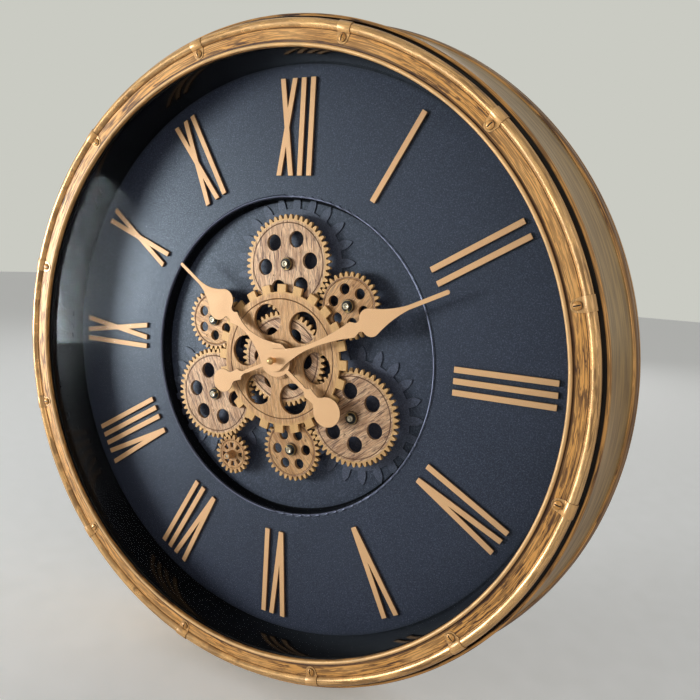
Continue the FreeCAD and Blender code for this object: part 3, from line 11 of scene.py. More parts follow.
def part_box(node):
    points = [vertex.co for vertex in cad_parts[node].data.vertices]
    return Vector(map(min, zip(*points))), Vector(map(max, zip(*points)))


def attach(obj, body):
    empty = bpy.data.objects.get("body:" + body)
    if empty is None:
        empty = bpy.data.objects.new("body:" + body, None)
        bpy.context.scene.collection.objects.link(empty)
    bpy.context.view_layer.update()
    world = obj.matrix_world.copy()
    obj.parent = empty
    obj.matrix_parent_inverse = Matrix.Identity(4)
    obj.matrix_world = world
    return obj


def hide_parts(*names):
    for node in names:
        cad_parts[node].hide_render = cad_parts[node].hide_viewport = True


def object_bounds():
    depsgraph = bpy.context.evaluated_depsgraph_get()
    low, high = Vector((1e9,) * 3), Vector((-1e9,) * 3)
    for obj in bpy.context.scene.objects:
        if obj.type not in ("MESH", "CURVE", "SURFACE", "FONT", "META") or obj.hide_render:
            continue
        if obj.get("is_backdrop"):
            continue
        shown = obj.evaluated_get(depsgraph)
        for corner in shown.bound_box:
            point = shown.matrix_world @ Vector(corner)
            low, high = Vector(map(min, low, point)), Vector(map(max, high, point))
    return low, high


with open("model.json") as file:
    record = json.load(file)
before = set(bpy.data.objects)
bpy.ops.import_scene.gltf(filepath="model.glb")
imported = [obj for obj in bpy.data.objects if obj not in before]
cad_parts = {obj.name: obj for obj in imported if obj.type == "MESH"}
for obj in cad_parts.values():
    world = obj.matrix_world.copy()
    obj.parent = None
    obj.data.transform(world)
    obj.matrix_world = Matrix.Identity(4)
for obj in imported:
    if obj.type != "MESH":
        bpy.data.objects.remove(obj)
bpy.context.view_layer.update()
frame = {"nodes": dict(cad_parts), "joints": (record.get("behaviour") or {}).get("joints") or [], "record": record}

bl_info = {
    "name": "Gear Clock Dresser",
    "version": (1, 0, 0),
    "blender": (4, 5, 0),
    "location": "View3D > Sidebar > Gear Clock",
    "description": "Dresses the round gear clock with its films, grain and polished small parts",
    "category": "Object",
}

NUMERALS = ["numeral_" + n for n in
            ("xii", "i", "ii", "iii", "iv", "v", "vi", "vii", "viii", "ix", "x", "xi")]
BODY_OF = {n: b for b, ns in frame["record"]["behaviour"]["bodies"].items() for n in ns}
PIVOT_OF = {j["child"]: Vector(j["pos_m"]) for j in frame["joints"]}

# Places and widths of the spun rings, in metres.
SEAT_WIDTH = 0.0087
NECK_FIT = 0.0002
RIM_WIDTH = 0.0205
GLASS_FIT = 0.0005
LINING_FOOT = 0.2584
LINING_MOUTH = 0.2600
BEAD_BED = (-45, -180)
BEAD_STEPS = 3
BAND_STEPS = 2

# The pins' rounded ends and the dimple in each.
PIN_EDGE = 0.0005
PIN_STEPS = 3
PIN_RIM = 0.0011
PIN_DIMPLE = 0.0007

# How copies are merged, rounded and shaded.
CAD_WELD = 2e-6
RING_WELD = 1e-6
FLAT_ANGLE = math.radians(0.5)
EDGE_ANGLE = math.radians(32)
SMOOTH_ANGLE = math.radians(40)
FLAT_FACE = 0.99995

# Radii, widths and reaches that the finishes follow, in metres.
# Place and half width of the painted shadow in the gap behind the bead.
GAP_CENTRE = 0.0035
GAP_HALF = 0.0042
# Recess wall, painted near black as shade.
RECESS_WALL = (0.1425, 0.1475)
# Rolled edge of the dial hole, painted bright as a glint.
ROLLED_EDGE = (0.1450, 0.1466)
FRONT_LINE_INSET = 0.0133
PRINTED_LINE = 0.0012
GEAR_HUB = 0.0056
SMALL_GEAR = 0.030
EDGE_REACH = 0.0007
LACQUER_EDGE = 0.0005
# Reaches of the painted shade in corners, slots and between gears.
FILM_SHADE_REACH = 0.002
SLOT_SHADE_REACH = 0.0045
TOOTH_SHADE_REACH = 0.0035
CORNER_SHADE_REACH = 0.005
SHADER_RAYS = 4

# Shares and light values.
LINE_PLACE = 0.83
GROOVE_SPREAD = 1.6
# Painted light on the relief teeth, as their share of the fleck colour.
RELIEF_PAINTED_LIGHT = 0.26
FLOOR_GLOW = 0.24
ROOM_LIGHT = 0.25
# Near black, painted as shade in the gap behind the bead, under the bezel's outer edge and in screw slots.
PAINTED_GAP_SHADE = (0.006, 0.004, 0.003)
SHEEN_BLUE = (0.74, 0.86, 1.0)
GLASS_CLEAR = (0.985, 0.99, 0.988, 1)
GLASS_GLOSS = (0.9, 0.95, 1, 1)
GLASS_SHEEN = 0.01
GLASS_BEND = 1.3

# Colours of the small parts, as a picture shows them.
GASKET_GREY = (24, 24, 25)
CLIP_BLACK = (34, 33, 32)
NUT_GOLD = (236, 190, 130)
CELL_DARK = (54, 56, 60)
CELL_LIGHT = (120, 122, 126)

# Scales of the film's streaks along and across the clock's circumference.
FLANGE_GRAIN = (8.0, 330.0)
RIM_GRAIN = (9.0, 420.0)
BEZEL_GRAIN = (15.0, 620.0)
BEAD_GRAIN = (12.0, 420.0)
CLIP_GRAIN = (10.0, 380.0)
SCREW_GRAIN = (9.0, 260.0)
BAND_GRAIN = (6.0, 260.0)
BAND_CLOUDS = (2.5, 12.0)
LINES_TO_STREAKS = (0.6, 1.9)
PATCHES_TO_STREAKS = (0.28, 0.12)

# Turn of each gear's wood print, in degrees.
PRINT_TURNS = {"front_gear": 12, "centre_gear": 62, "top_gear": 8, "left_gear": 24, "right_gear": -52,
               "upper_right_gear": -35, "upper_left_gear": 70, "bottom_gear": 40, "drive_pinion": 15}

# The studio: floor, lamps and camera, in metres and watts.
FLOOR_SIZE = 14
FLOOR_DROP = 0.0005
WHITE = (1, 1, 1)
LAMPS = {
    "window_lamp": {"place": (-1.9, -1.4, 0.0), "size": 0.8, "power": 50, "tint": (0.93, 0.98, 1.0)},
    "fill_lamp": {"place": (1.9, -1.4, 0.6), "size": 1.6, "power": 8, "tint": WHITE},
    "rear_lamp": {"place": (-0.9, 2.3, 0.8), "size": 1.6, "power": 9, "tint": WHITE},
}
CAMERA_LENS = 34.88
CAMERA_SENSOR = 36
CAMERA_PLACE = (0.3320, -0.5534, 0.0934)
CAMERA_RIGHT = Vector((0.88665, 0.45815, 0.06299))
CAMERA_UP = Vector((-0.11586, 0.08822, 0.98934))
CAMERA_BACK = Vector((0.44771, -0.88448, 0.13130))


def linear(red, green, blue):
    """Turns a colour as a picture shows it, 0 to 255, into the light values that the shaders take."""
    shares = [c / 255 for c in (red, green, blue)]
    return [s / 12.92 if s <= 0.04045 else ((s + 0.055) / 1.055) ** 2.4 for s in shares]


def tinted(shade, factor, lift=0.0):
    """A shade made darker or lighter by a factor and a lift."""
    return tuple(min(1.0, part * factor + lift) for part in shade)


def colour(name, description, red, green, blue):
    """A colour that the panel shows."""
    return FloatVectorProperty(name=name, description=description, subtype="COLOR", size=3, min=0, max=1,
                               default=linear(red, green, blue))


def length(name, description, metres):
    """A length that the panel shows."""
    return FloatProperty(name=name, description=description, default=metres, min=0, unit="LENGTH",
                         precision=5)


class ClockColours(PropertyGroup):
    """Colours of the clock's films, metals and plastics."""
    film_gold: colour("Film gold", "Ground colour of the gold film on the case", 230, 166, 88)
    # The film's light colour is also painted as a highlight on the bezel's lip, and its grain colour as shade in
    # grooves and corners.
    film_light: colour("Film light", "Worn light places of the gold film", 244, 198, 138)
    film_dark: colour("Film grain", "Dark streaks printed in the gold film", 58, 29, 21)
    band_taupe: colour("Band taupe", "Satin lacquer of the side band", 164, 124, 44)
    gear_tan: colour("Gear tan", "Ground colour of the wood print on the gears", 198, 150, 110)
    gear_light: colour("Gear light", "Light streaks of the wood print", 232, 190, 150)
    gear_dark: colour("Gear grain", "Dark streaks of the wood print", 86, 56, 48)
    gear_edge: colour("Gear edge", "Bare golden edge of teeth and holes", 214, 166, 104)
    front_tan: colour("Front gear gold", "Ground colour of the golden gears", 190, 136, 82)
    front_light: colour("Front gear light", "Light streaks of the golden gears", 222, 172, 118)
    copper: colour("Copper", "Satin lacquer of numerals and hands", 234, 181, 130)
    # The copper side colour is painted as shade on upright sides.
    copper_side_shade: colour("Copper sides", "Dark sides of numerals and hands", 120, 82, 58)
    dial: colour("Dial", "Charcoal lacquer of the dial and recess", 42, 46, 62)
    # The fleck colour is also painted as highlight and glint on the dial, and the inner wall's black as shade in
    # its corners and recess wall.
    dial_fleck_and_glint: colour("Dial fleck", "Fine light flecks in the charcoal", 116, 118, 138)
    wall_black: colour("Inner wall", "Gloss black inside of the drum", 9, 9, 11)
    steel: colour("Steel", "Polished pins and shafts", 196, 182, 158)
    brass: colour("Brass", "Turned brass collars and sleeves", 208, 172, 104)
    plastic: colour("Unit plastic", "Black moulding of the battery units", 30, 30, 32)
    zinc: colour("Zinc", "Plated screws, nuts and hanger", 176, 178, 180)
    board: colour("Hardboard", "Pressed board of the back panel", 118, 88, 62)
    backdrop: colour("Backdrop", "Pale room round the clock", 202, 203, 195)


class ClockSizes(PropertyGroup):
    """Sizes that the dressing adds to the frame."""
    face_width: length("Bezel face", "Width of the bezel's flat face", 0.0100)
    lip_width: length("Lip width", "Width of the bezel's rolled inner lip", 0.0032)
    lip_gap: length("Lip gap", "Groove between the bezel's face and its lip", 0.0008)
    lip_step: length("Lip step", "Depth of that groove", 0.0005)
    lip_rise: length("Lip rise", "Height of the lip above the bezel's face", 0.0020)
    bead_fit: length("Bead fit", "Gap between the bead tube and its seat", 0.0001)
    rim_roll: length("Rim roll", "Rounding of the front rim's outer edge", 0.0022)
    rim_land: length("Rim land", "Flat top of the front rim", 0.0006)
    rim_ledge: length("Rim ledge", "Depth of the ledge that carries the bezel", 0.0047)
    band_wall: length("Band wall", "Sheet of the side band", 0.0012)
    band_hollow: length("Band hollow", "How far the side band curves inwards", 0.0013)
    flange_foot: length("Flange foot", "Upright edge of the back flange", 0.0055)
    flange_groove: length("Flange groove", "Half height of the groove above that edge", 0.0012)
    flange_swell: length("Flange swell", "Rounding of the flange's shoulder", 0.0010)
    lining_sheet: length("Lining sheet", "Sheet of the drum's black lining", 0.0016)
    ring_edge: length("Ring edge", "Rounding of the rings' edges", 0.00022)
    ring_turns: IntProperty(name="Ring turns", description="Faces round each ring", default=288, min=24)
    arc_steps: IntProperty(name="Arc steps", description="Faces across each rounded outline", default=8,
                           min=2)
    numeral_edge: length("Numeral edge", "Rounding of the numerals' front edges", 0.00035)
    gear_edge: length("Gear edge", "Rounding of the gears' edges", 0.00028)
    hand_edge: length("Hand edge", "Rounding of the hands' edges", 0.00022)
    clip_edge: length("Clip edge", "Rounding of the clip straps", 0.0003)
    screw_edge: length("Screw edge", "Rounding of the screw heads and slots", 0.0002)
    post_edge: length("Post edge", "Rounding of pins, clips and collars", 0.00012)
    edge_steps: IntProperty(name="Edge steps", description="Faces across each rounded edge", default=2, min=1)


def settings():
    """The colours and sizes that the panel shows."""
    return bpy.context.scene.clock_colours, bpy.context.scene.clock_sizes


def alone(item):
    """Makes the item the only selected and the active object."""
    bpy.ops.object.select_all(action="DESELECT")
    item.select_set(True)
    bpy.context.view_layer.objects.active = item


def belong(item, node):
    """Rides the item on the node's body."""
    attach(item, BODY_OF[node])
    return item


def round_edges(piece, width, steps):
    """Rounds the sharp edges of a piece and keeps its flats flat to the light."""
    alone(piece)
    rounding = piece.modifiers.new("edges", "BEVEL")
    rounding.limit_method = "ANGLE"
    rounding.angle_limit = EDGE_ANGLE
    rounding.width = width
    rounding.segments = steps
    rounding.use_clamp_overlap = True
    rounding.miter_outer = "MITER_ARC"
    bpy.ops.object.modifier_apply(modifier=rounding.name)
    bpy.ops.object.shade_smooth_by_angle(angle=SMOOTH_ANGLE)
    for face in piece.data.polygons:
        face.use_smooth = abs(face.normal.y) < FLAT_FACE
    return piece


def edged_copy(node, name, width, steps, dimple=False):
    """A copy of a CAD node with its loose triangles merged and its edges rounded.

    A dimple is sunk into each of its frontmost faces if asked for.
    """
    source = frame["nodes"][node]
    piece = bpy.data.objects.new(name, source.data.copy())
    bpy.context.scene.collection.objects.link(piece)
    alone(piece)
    bpy.ops.object.mode_set(mode="EDIT")
    bpy.ops.mesh.select_all(action="SELECT")
    bpy.ops.mesh.customdata_custom_splitnormals_clear()
    bpy.ops.mesh.remove_doubles(threshold=CAD_WELD)
    bpy.ops.mesh.dissolve_limited(angle_limit=FLAT_ANGLE)
    bpy.ops.mesh.select_all(action="DESELECT")
    if dimple:
        shape = bmesh.from_edit_mesh(piece.data)
        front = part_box(node)[0].y + PIN_EDGE
        for face in shape.faces:
            face.select_set(face.calc_center_median().y < front and face.normal.y < -FLAT_FACE)
        bmesh.update_edit_mesh(piece.data)
        bpy.ops.mesh.inset(thickness=PIN_RIM, use_individual=True)
        bpy.ops.mesh.inset(thickness=PIN_DIMPLE, depth=-PIN_DIMPLE, use_individual=True)
        bpy.ops.mesh.select_all(action="DESELECT")
    bpy.ops.object.mode_set(mode="OBJECT")
    piece.data.materials.clear()
    round_edges(piece, width, steps)
    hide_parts(node)
    return belong(piece, node)


def arc(centre, radius, start, end, steps):
    """Points of an arc in an outline of (radius, height) pairs, between two angles in degrees."""
    turns = [math.radians(start + (end - start) * k / steps) for k in range(steps + 1)]
    return [(centre[0] + radius * math.cos(t), centre[1] + radius * math.sin(t)) for t in turns]


def bow(first, last, rise, steps):
    """Points of a shallow curve from the first to the last that stands out from the line by its rise."""
    (r0, h0), (r1, h1) = first, last
    reach = math.hypot(r1 - r0, h1 - h0)
    out = ((h1 - h0) / reach * rise, (r0 - r1) / reach * rise)
    shares = [k / steps for k in range(steps + 1)]
    return [(r0 + (r1 - r0) * s + out[0] * 4 * s * (1 - s), h0 + (h1 - h0) * s + out[1] * 4 * s * (1 - s))
            for s in shares]


def spun_ring(node, name, outline, edge):
    """A ring spun about the clock's axis from its closed outline of (radius, height) points."""
    _, sizes = settings()
    places = [Vector((radius, -height, 0)) for radius, height in outline]
    bpy.ops.object.select_all(action="DESELECT")
    bpy.ops.mesh.primitive_plane_add(size=edge)
    piece = bpy.context.object
    piece.name = name
    bpy.ops.object.mode_set(mode="EDIT")
    bpy.ops.mesh.merge(type="CENTER")
    bpy.ops.transform.translate(value=places[0])
    for before, after in zip(places, places[1:]):
        bpy.ops.mesh.extrude_region_move(TRANSFORM_OT_translate={"value": after - before})
    shape = bmesh.from_edit_mesh(piece.data)
    for vert in shape.verts:
        vert.select_set(len(vert.link_edges) == 1)
    shape.select_flush(True)
    bmesh.update_edit_mesh(piece.data)
    bpy.ops.mesh.edge_face_add()
    bpy.ops.mesh.select_all(action="SELECT")
    bpy.ops.mesh.spin(steps=sizes.ring_turns, angle=2 * math.pi, center=(0, 0, 0), axis=(0, 1, 0))
    bpy.ops.mesh.select_all(action="SELECT")
    bpy.ops.mesh.remove_doubles(threshold=RING_WELD)
    bpy.ops.mesh.normals_make_consistent(inside=False)
    bpy.ops.mesh.select_all(action="DESELECT")
    bpy.ops.object.mode_set(mode="OBJECT")
    round_edges(piece, edge, sizes.edge_steps)
    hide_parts(node)
    return belong(piece, node)


def heights(node):
    """Outer radius of a ring node, and its lowest and highest place above the wall."""
    low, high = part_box(node)
    return high.x, -high.y, -low.y


def paint(item, material):
    """Puts one material in every slot of an object."""
    if not item.data.materials:
        item.data.materials.append(material)
    for index in range(len(item.data.materials)):
        item.data.materials[index] = material


def paint_nodes(names, material):
    """Puts one material on each of the named CAD nodes."""
    for name in names:
        paint(frame["nodes"][name], material)


class Finish:
    """A material with its nodes, built line by line."""

    def __init__(self, name):
        self.material = bpy.data.materials.new(name)
        self.material.use_nodes = True
        self.tree = self.material.node_tree
        self.shader = self.tree.nodes["Principled BSDF"]
        self.place = self.tree.nodes.new("ShaderNodeTexCoord").outputs["Object"]

    def node(self, kind, inputs=None, **settings_of):
        """Adds a node with its settings, and feeds its inputs."""
        made = self.tree.nodes.new(kind)
        for key, value in settings_of.items():
            setattr(made, key, value)
        for key, value in (inputs or {}).items():
            self.feed(made.inputs[key], value)
        return made

    def feed(self, socket, value):
        """Links another node's output to a socket, or sets the socket's value."""
        if isinstance(value, bpy.types.NodeSocket):
            self.tree.links.new(value, socket)
        else:
            socket.default_value = value

    def set(self, **values):
        """Sets the shader's sockets, with underscores for the spaces in their names."""
        for key, value in values.items():
            self.feed(self.shader.inputs[key.replace("_", " ")], value)
        return self

    def sums(self, operation, first, second=0.0):
        """The sum, product or other result of two values."""
        return self.node("ShaderNodeMath", {0: first, 1: second}, operation=operation).outputs[0]

    def centred(self, centre=(0, 0, 0), turn=0.0, scale=(1, 1, 1)):
        """Object coordinates moved to a centre, then turned about the clock's axis and scaled."""
        moved = self.node("ShaderNodeMapping", {"Vector": self.place, "Location": [-c for c in centre]})
        turned = self.node("ShaderNodeMapping", {"Vector": moved.outputs[0], "Rotation": (0, turn, 0)})
        sized = self.node("ShaderNodeMapping", {"Vector": turned.outputs[0], "Scale": scale})
        return sized.outputs[0]

    def ring_place(self, along, across):
        """Coordinates that run along the clock's circumference, for streaks that follow a ring."""
        split = self.node("ShaderNodeSeparateXYZ", {0: self.place})
        x, y, z = split.outputs
        radius = self.radius_of(self.place)
        over_x = self.sums("DIVIDE", x, radius)
        over_z = self.sums("DIVIDE", z, radius)
        slope = self.sums("ADD", radius, y)
        return self.node("ShaderNodeCombineXYZ", {
            0: self.sums("MULTIPLY", over_x, along), 1: self.sums("MULTIPLY", over_z, along),
            2: self.sums("MULTIPLY", slope, across)}).outputs[0]

    def radius_of(self, place):
        """Distance of a place from its own axis along Y."""
        flat = self.node("ShaderNodeVectorMath", {0: place, 1: (1, 0, 1)}, operation="MULTIPLY")
        return self.node("ShaderNodeVectorMath", {0: flat.outputs[0]}, operation="LENGTH").outputs["Value"]

    def off_radius(self, radius, width):
        """How far a place is from a radius round the clock's axis, in widths."""
        off = self.sums("ABSOLUTE", self.sums("SUBTRACT", self.radius_of(self.place), radius))
        return self.sums("DIVIDE", off, width)

    def noise(self, place, scale=1.0, detail=3.0, roughness=0.6, distortion=0.0):
        """Cloudy noise, by default as fine as its place is scaled."""
        made = self.node("ShaderNodeTexNoise", {"Vector": place, "Scale": scale, "Detail": detail,
                                                "Roughness": roughness, "Distortion": distortion})
        return made.outputs["Fac"]

    def ramp(self, value, *stops):
        """A ramp through (place, grey or colour) stops."""
        made = self.node("ShaderNodeValToRGB", {"Fac": value})
        points = made.color_ramp.elements
        while len(points) < len(stops):
            points.new(0.5)
        for point, (where, shade) in zip(points, stops):
            point.position = where
            point.color = (*shade, 1) if hasattr(shade, "__len__") else (shade, shade, shade, 1)
        return made.outputs["Color"]

    def mix(self, share, first, second):
        """A colour between two, by the share of the second."""
        made = self.node("ShaderNodeMix", data_type="RGBA")
        for index, value in ((0, share), (6, first), (7, second)):
            if hasattr(value, "__len__") and not isinstance(value, bpy.types.NodeSocket):
                value = (*value, 1)
            self.feed(made.inputs[index], value)
        return made.outputs[2]

    def bump(self, height, strength, distance):
        """Raises the surface's relief by a height, and gives the finish itself back."""
        made = self.node("ShaderNodeBump", {"Height": height, "Strength": strength, "Distance": distance})
        self.feed(self.shader.inputs["Normal"], made.outputs[0])
        return self

    def facing(self):
        """1 where the surface looks straight to the front, 0 on upright sides and -1 to the rear."""
        normal = self.node("ShaderNodeNewGeometry").outputs["True Normal"]
        split = self.node("ShaderNodeSeparateXYZ", {0: normal})
        return self.sums("MULTIPLY", split.outputs[1], -1.0)

    def edges(self, reach=EDGE_REACH):
        """1 on edges and 0 on flats: how far a rounded normal turns from the surface's own."""
        rounded = self.node("ShaderNodeBevel", {"Radius": reach}, samples=SHADER_RAYS).outputs[0]
        own = self.node("ShaderNodeNewGeometry").outputs["Normal"]
        level = self.node("ShaderNodeVectorMath", {0: rounded, 1: own}, operation="DOT_PRODUCT")
        return self.ramp(level.outputs["Value"], (0.80, 1.0), (0.98, 0.0))

    def crevices(self, reach):
        """1 deep in corners and slots, where ambient light is shut out, and 0 on open faces: the mask for painted
        shade.
        """
        open_share = self.node("ShaderNodeAmbientOcclusion", {"Distance": reach},
                               samples=SHADER_RAYS).outputs["AO"]
        return self.ramp(open_share, (0.40, 1.0), (0.80, 0.0))

    def faded(self, strength, value, *stops):
        """A ramp's share, weakened by a strength or by another share."""
        return self.sums("MULTIPLY", self.ramp(value, *stops), strength)

    def edge_wear_and_glint(self, tone, light, share, reach=EDGE_REACH):
        """Lightens a tone on its edges: wear on films, gears, metals and plastics, and a painted highlight on the
        dial's lacquer.
        """
        return self.mix(self.sums("MULTIPLY", self.edges(reach), share), tone, light)

    def paint_corner_shade(self, tone, dark, share, reach):
        """Paints shade into a tone's corners and slots."""
        return self.mix(self.sums("MULTIPLY", self.crevices(reach), share), tone, dark)


def gold_film(name, grain, darkness=0.92, light=0.4, bands=(), gloss=0.3, metal=0.25, shade_reach=FILM_SHADE_REACH,
              lift=0.0, slots=False):
    """Satin gold film with brown streaks along the circumference, worn light on its edges and painted shade in its
    corners.

    Each band is a radius, its half width, a colour and a share that lay a line over the film. The lift is a share
    of the worn light colour in the ground, and slots asks for painted shade, near black, on slot floors and
    upright walls.
    """
    colours, _ = settings()
    made = Finish(name)
    gold, wear_and_highlight, dark = tuple(colours.film_gold), tuple(colours.film_light), tuple(colours.film_dark)
    streak_place, line_place, patch_place = [
        made.ring_place(grain[0] * along, grain[1] * across)
        for along, across in ((1, 1), LINES_TO_STREAKS, PATCHES_TO_STREAKS)]
    streaks = made.noise(streak_place, distortion=0.3)
    lines = made.noise(line_place, detail=2.0, roughness=0.5, distortion=0.2)
    patches = made.noise(patch_place)
    where = made.ramp(patches, (0.40, 1.0), (0.60, 0.5))
    broad = made.faded(where, streaks, (0.42, 1.0), (0.53, 0.0))
    fine = made.faded(0.6, lines, (0.42, 1.0), (0.51, 0.0))
    streaked = made.sums("MULTIPLY", made.sums("MAXIMUM", broad, fine), darkness)
    ground = made.mix(made.ramp(patches, (0.45, lift), (0.75, max(light, lift))), gold, wear_and_highlight)
    tone = made.mix(streaked, ground, dark)
    tone = made.edge_wear_and_glint(tone, wear_and_highlight, share=0.6)
    for centre, half, shade, share in bands:
        line = made.ramp(made.off_radius(centre, half), (0.8, share), (1.0, 0.0))
        tone = made.mix(line, tone, shade)
    # Painted shade: corners and slots darkened with the grain colour.
    tone = made.paint_corner_shade(tone, dark, share=0.85, reach=shade_reach)
    # Painted shade: slot floors and the upright sides of the heads turned near black.
    if slots:
        inside = made.ramp(made.facing(), (0.02, 0.9), (0.08, 0.0), (0.996, 0.0), (0.9995, 1.0))
        tone = made.mix(inside, tone, PAINTED_GAP_SHADE)
    made.set(Base_Color=tone, Metallic=metal, Coat_Weight=0.08, Coat_Roughness=0.25,
             Roughness=made.ramp(streaks, (0.35, gloss + 0.2), (0.65, gloss)))
    return made.bump(streaks, 0.35, 0.0004).material


def band_lacquer():
    """Satin taupe lacquer of the side band with faint streaks along the circumference."""
    colours, _ = settings()
    made = Finish("band_lacquer")
    streaks = made.noise(made.ring_place(*BAND_GRAIN), detail=5.0)
    clouds = made.noise(made.ring_place(*BAND_CLOUDS), detail=2.0)
    tone = made.mix(made.ramp(streaks, (0.40, 0.55), (0.60, 0.0)), tuple(colours.band_taupe),
                    tuple(colours.film_dark))
    tone = made.mix(made.ramp(clouds, (0.4, 0.0), (0.75, 0.25)), tone, tuple(colours.film_light))
    made.set(Base_Color=tone, Metallic=0.2, Roughness=made.ramp(streaks, (0.3, 0.42), (0.7, 0.3)))
    return made.bump(streaks, 0.12, 0.0003).material


def wood_print(name, centre, turn, ring_radius, tip_radius, ground, glow, strength=1.0, hub_radius=None):
    """Wood print on a gear: streaks along its own direction, a golden tooth edge, a thin printed ring, and painted
    shade in its corners and between gears.

    A hub within its radius is bare brass with a dark line round it.
    """
    colours, _ = settings()
    made = Finish(name)
    dark, edge = tuple(colours.gear_dark), tuple(colours.gear_edge)
    place = made.centred(centre, turn)
    streaks = made.noise(made.centred(centre, turn, (780, 780, 80)), distortion=0.8)
    broad = made.noise(made.centred(centre, turn, (240, 240, 30)), roughness=0.5, distortion=1.0)
    pores = made.noise(made.centred(centre, turn, (1400, 1400, 140)), detail=2.0)
    tone = made.mix(made.ramp(broad, (0.36, 0.0), (0.66, 1.0)), tuple(ground), tuple(glow))
    wide = made.faded(0.45 * strength, broad, (0.32, 1.0), (0.48, 0.0))
    narrow = made.faded(0.9 * strength, streaks, (0.38, 1.0), (0.53, 0.0))
    fine = made.faded(0.5 * strength, pores, (0.38, 1.0), (0.50, 0.0))
    tone = made.mix(made.sums("MAXIMUM", made.sums("MAXIMUM", narrow, wide), fine), tone, dark)
    radius = made.radius_of(place)
    rim = made.ramp(made.sums("DIVIDE", radius, tip_radius), (0.86, 0.0), (0.90, 0.75))
    tone = made.mix(rim, tone, edge)
    if ring_radius:
        off = made.sums("ABSOLUTE", made.sums("SUBTRACT", radius, ring_radius))
        line = made.faded(0.7, made.sums("DIVIDE", off, PRINTED_LINE), (0.25, 1.0), (0.55, 0.0))
        tone = made.mix(line, tone, dark)
    if hub_radius:
        share = made.sums("DIVIDE", radius, hub_radius * 2)
        tone = made.mix(made.ramp(share, (0.54, 0.85), (0.59, 0.0)), tone, tuple(colours.film_dark))
        tone = made.mix(made.ramp(share, (0.47, 1.0), (0.49, 0.0)), tone, tuple(colours.brass))
    tone = made.edge_wear_and_glint(tone, edge, share=0.8)
    # Painted shade: corners and gaps between gears darkened.
    tone = made.paint_corner_shade(tone, tuple(colours.film_dark), share=0.85, reach=TOOTH_SHADE_REACH)
    made.set(Base_Color=tone, Metallic=0.2, Roughness=made.ramp(streaks, (0.3, 0.5), (0.7, 0.34)))
    return made.bump(streaks, 0.2, 0.0002).material


def copper_lacquer():
    """Satin copper face with painted shade, darker brown, on its upright sides."""
    colours, _ = settings()
    made = Finish("copper_lacquer")
    clouds = made.noise(made.place, 90.0)
    fine = made.noise(made.place, 2600.0, detail=2.0)
    # Painted shade: upright sides darker brown than the front face.
    face = made.ramp(made.facing(), (0.15, 0.0), (0.55, 1.0))
    tone = made.mix(made.ramp(clouds, (0.3, 0.0), (0.7, 0.18)), tuple(colours.copper),
                    tuple(colours.film_light))
    tone = made.mix(face, tuple(colours.copper_side_shade), tone)
    made.set(Base_Color=tone, Metallic=0.12, Roughness=made.ramp(clouds, (0.3, 0.56), (0.7, 0.46)))
    return made.bump(fine, 0.06, 0.0001).material


def dial_lacquer(name, wall=None, lift=0.0, rolled=None):
    """Charcoal lacquer with a fine light fleck, a painted highlight on its edges and painted shade in its corners.

    The wall is a pair of radii between which it is painted near black as shade, and rolled a pair between which it
    is painted bright as a glint. The lift is a share of fleck colour over all, which paints light over the whole
    part.
    """
    colours, _ = settings()
    made = Finish(name)
    light, black = tuple(colours.dial_fleck_and_glint), tuple(colours.wall_black)
    fleck = made.noise(made.place, 880.0, detail=2.0, roughness=0.7)
    clouds = made.noise(made.place, 14.0)
    # The lift paints light over the whole part, as for the relief teeth.
    ground = made.mix(lift, tuple(colours.dial), light)
    tone = made.mix(made.ramp(fleck, (0.52, 0.0), (0.66, 0.36)), ground, light)
    tone = made.mix(made.ramp(fleck, (0.32, 0.5), (0.46, 0.0)), tone, black)
    tone = made.mix(made.ramp(clouds, (0.3, 0.16), (0.7, 0.0)), tone, black)
    # Painted highlight: edges lightened with the fleck colour.
    tone = made.edge_wear_and_glint(tone, light, share=0.7, reach=LACQUER_EDGE)
    # Painted shade: corners and the feet of raised parts darkened towards black.
    tone = made.paint_corner_shade(tone, black, share=0.9, reach=CORNER_SHADE_REACH)
    shine = 0.5
    # Painted shade: the recess wall turned near black.
    if wall:
        away = made.off_radius(sum(wall) / 2, wall[1] - wall[0])
        tone = made.mix(made.ramp(away, (0.46, 0.95), (0.5, 0.0)), tone, black)
        shine = made.ramp(away, (0.46, 0.05), (0.5, shine))
    # Painted glint: the rolled edge of the dial hole lightened with the fleck colour.
    if rolled:
        away = made.off_radius(sum(rolled) / 2, rolled[1] - rolled[0])
        painted_glint = made.ramp(away, (0.4, 0.8), (0.5, 0.0))
        tone = made.mix(painted_glint, tone, light)
        made.set(Metallic=painted_glint)
    made.set(Base_Color=tone, Specular_IOR_Level=shine, Specular_Tint=(*SHEEN_BLUE, 1),
             Roughness=made.ramp(fleck, (0.4, 0.52), (0.7, 0.36)))
    return made.bump(fleck, 0.5, 0.0002).material


def gloss_black():
    """Glossy black lining of the drum with a trace of dust."""
    colours, _ = settings()
    made = Finish("gloss_black")
    dust = made.noise(made.place, 240.0, detail=4.0)
    tone = made.mix(made.ramp(dust, (0.55, 0.0), (0.8, 0.02)), tuple(colours.wall_black),
                    tuple(colours.dial_fleck_and_glint))
    made.set(Base_Color=tone, Specular_IOR_Level=0.16,
             Roughness=made.ramp(dust, (0.3, 0.10), (0.8, 0.14)))
    return made.bump(dust, 0.02, 0.0002).material


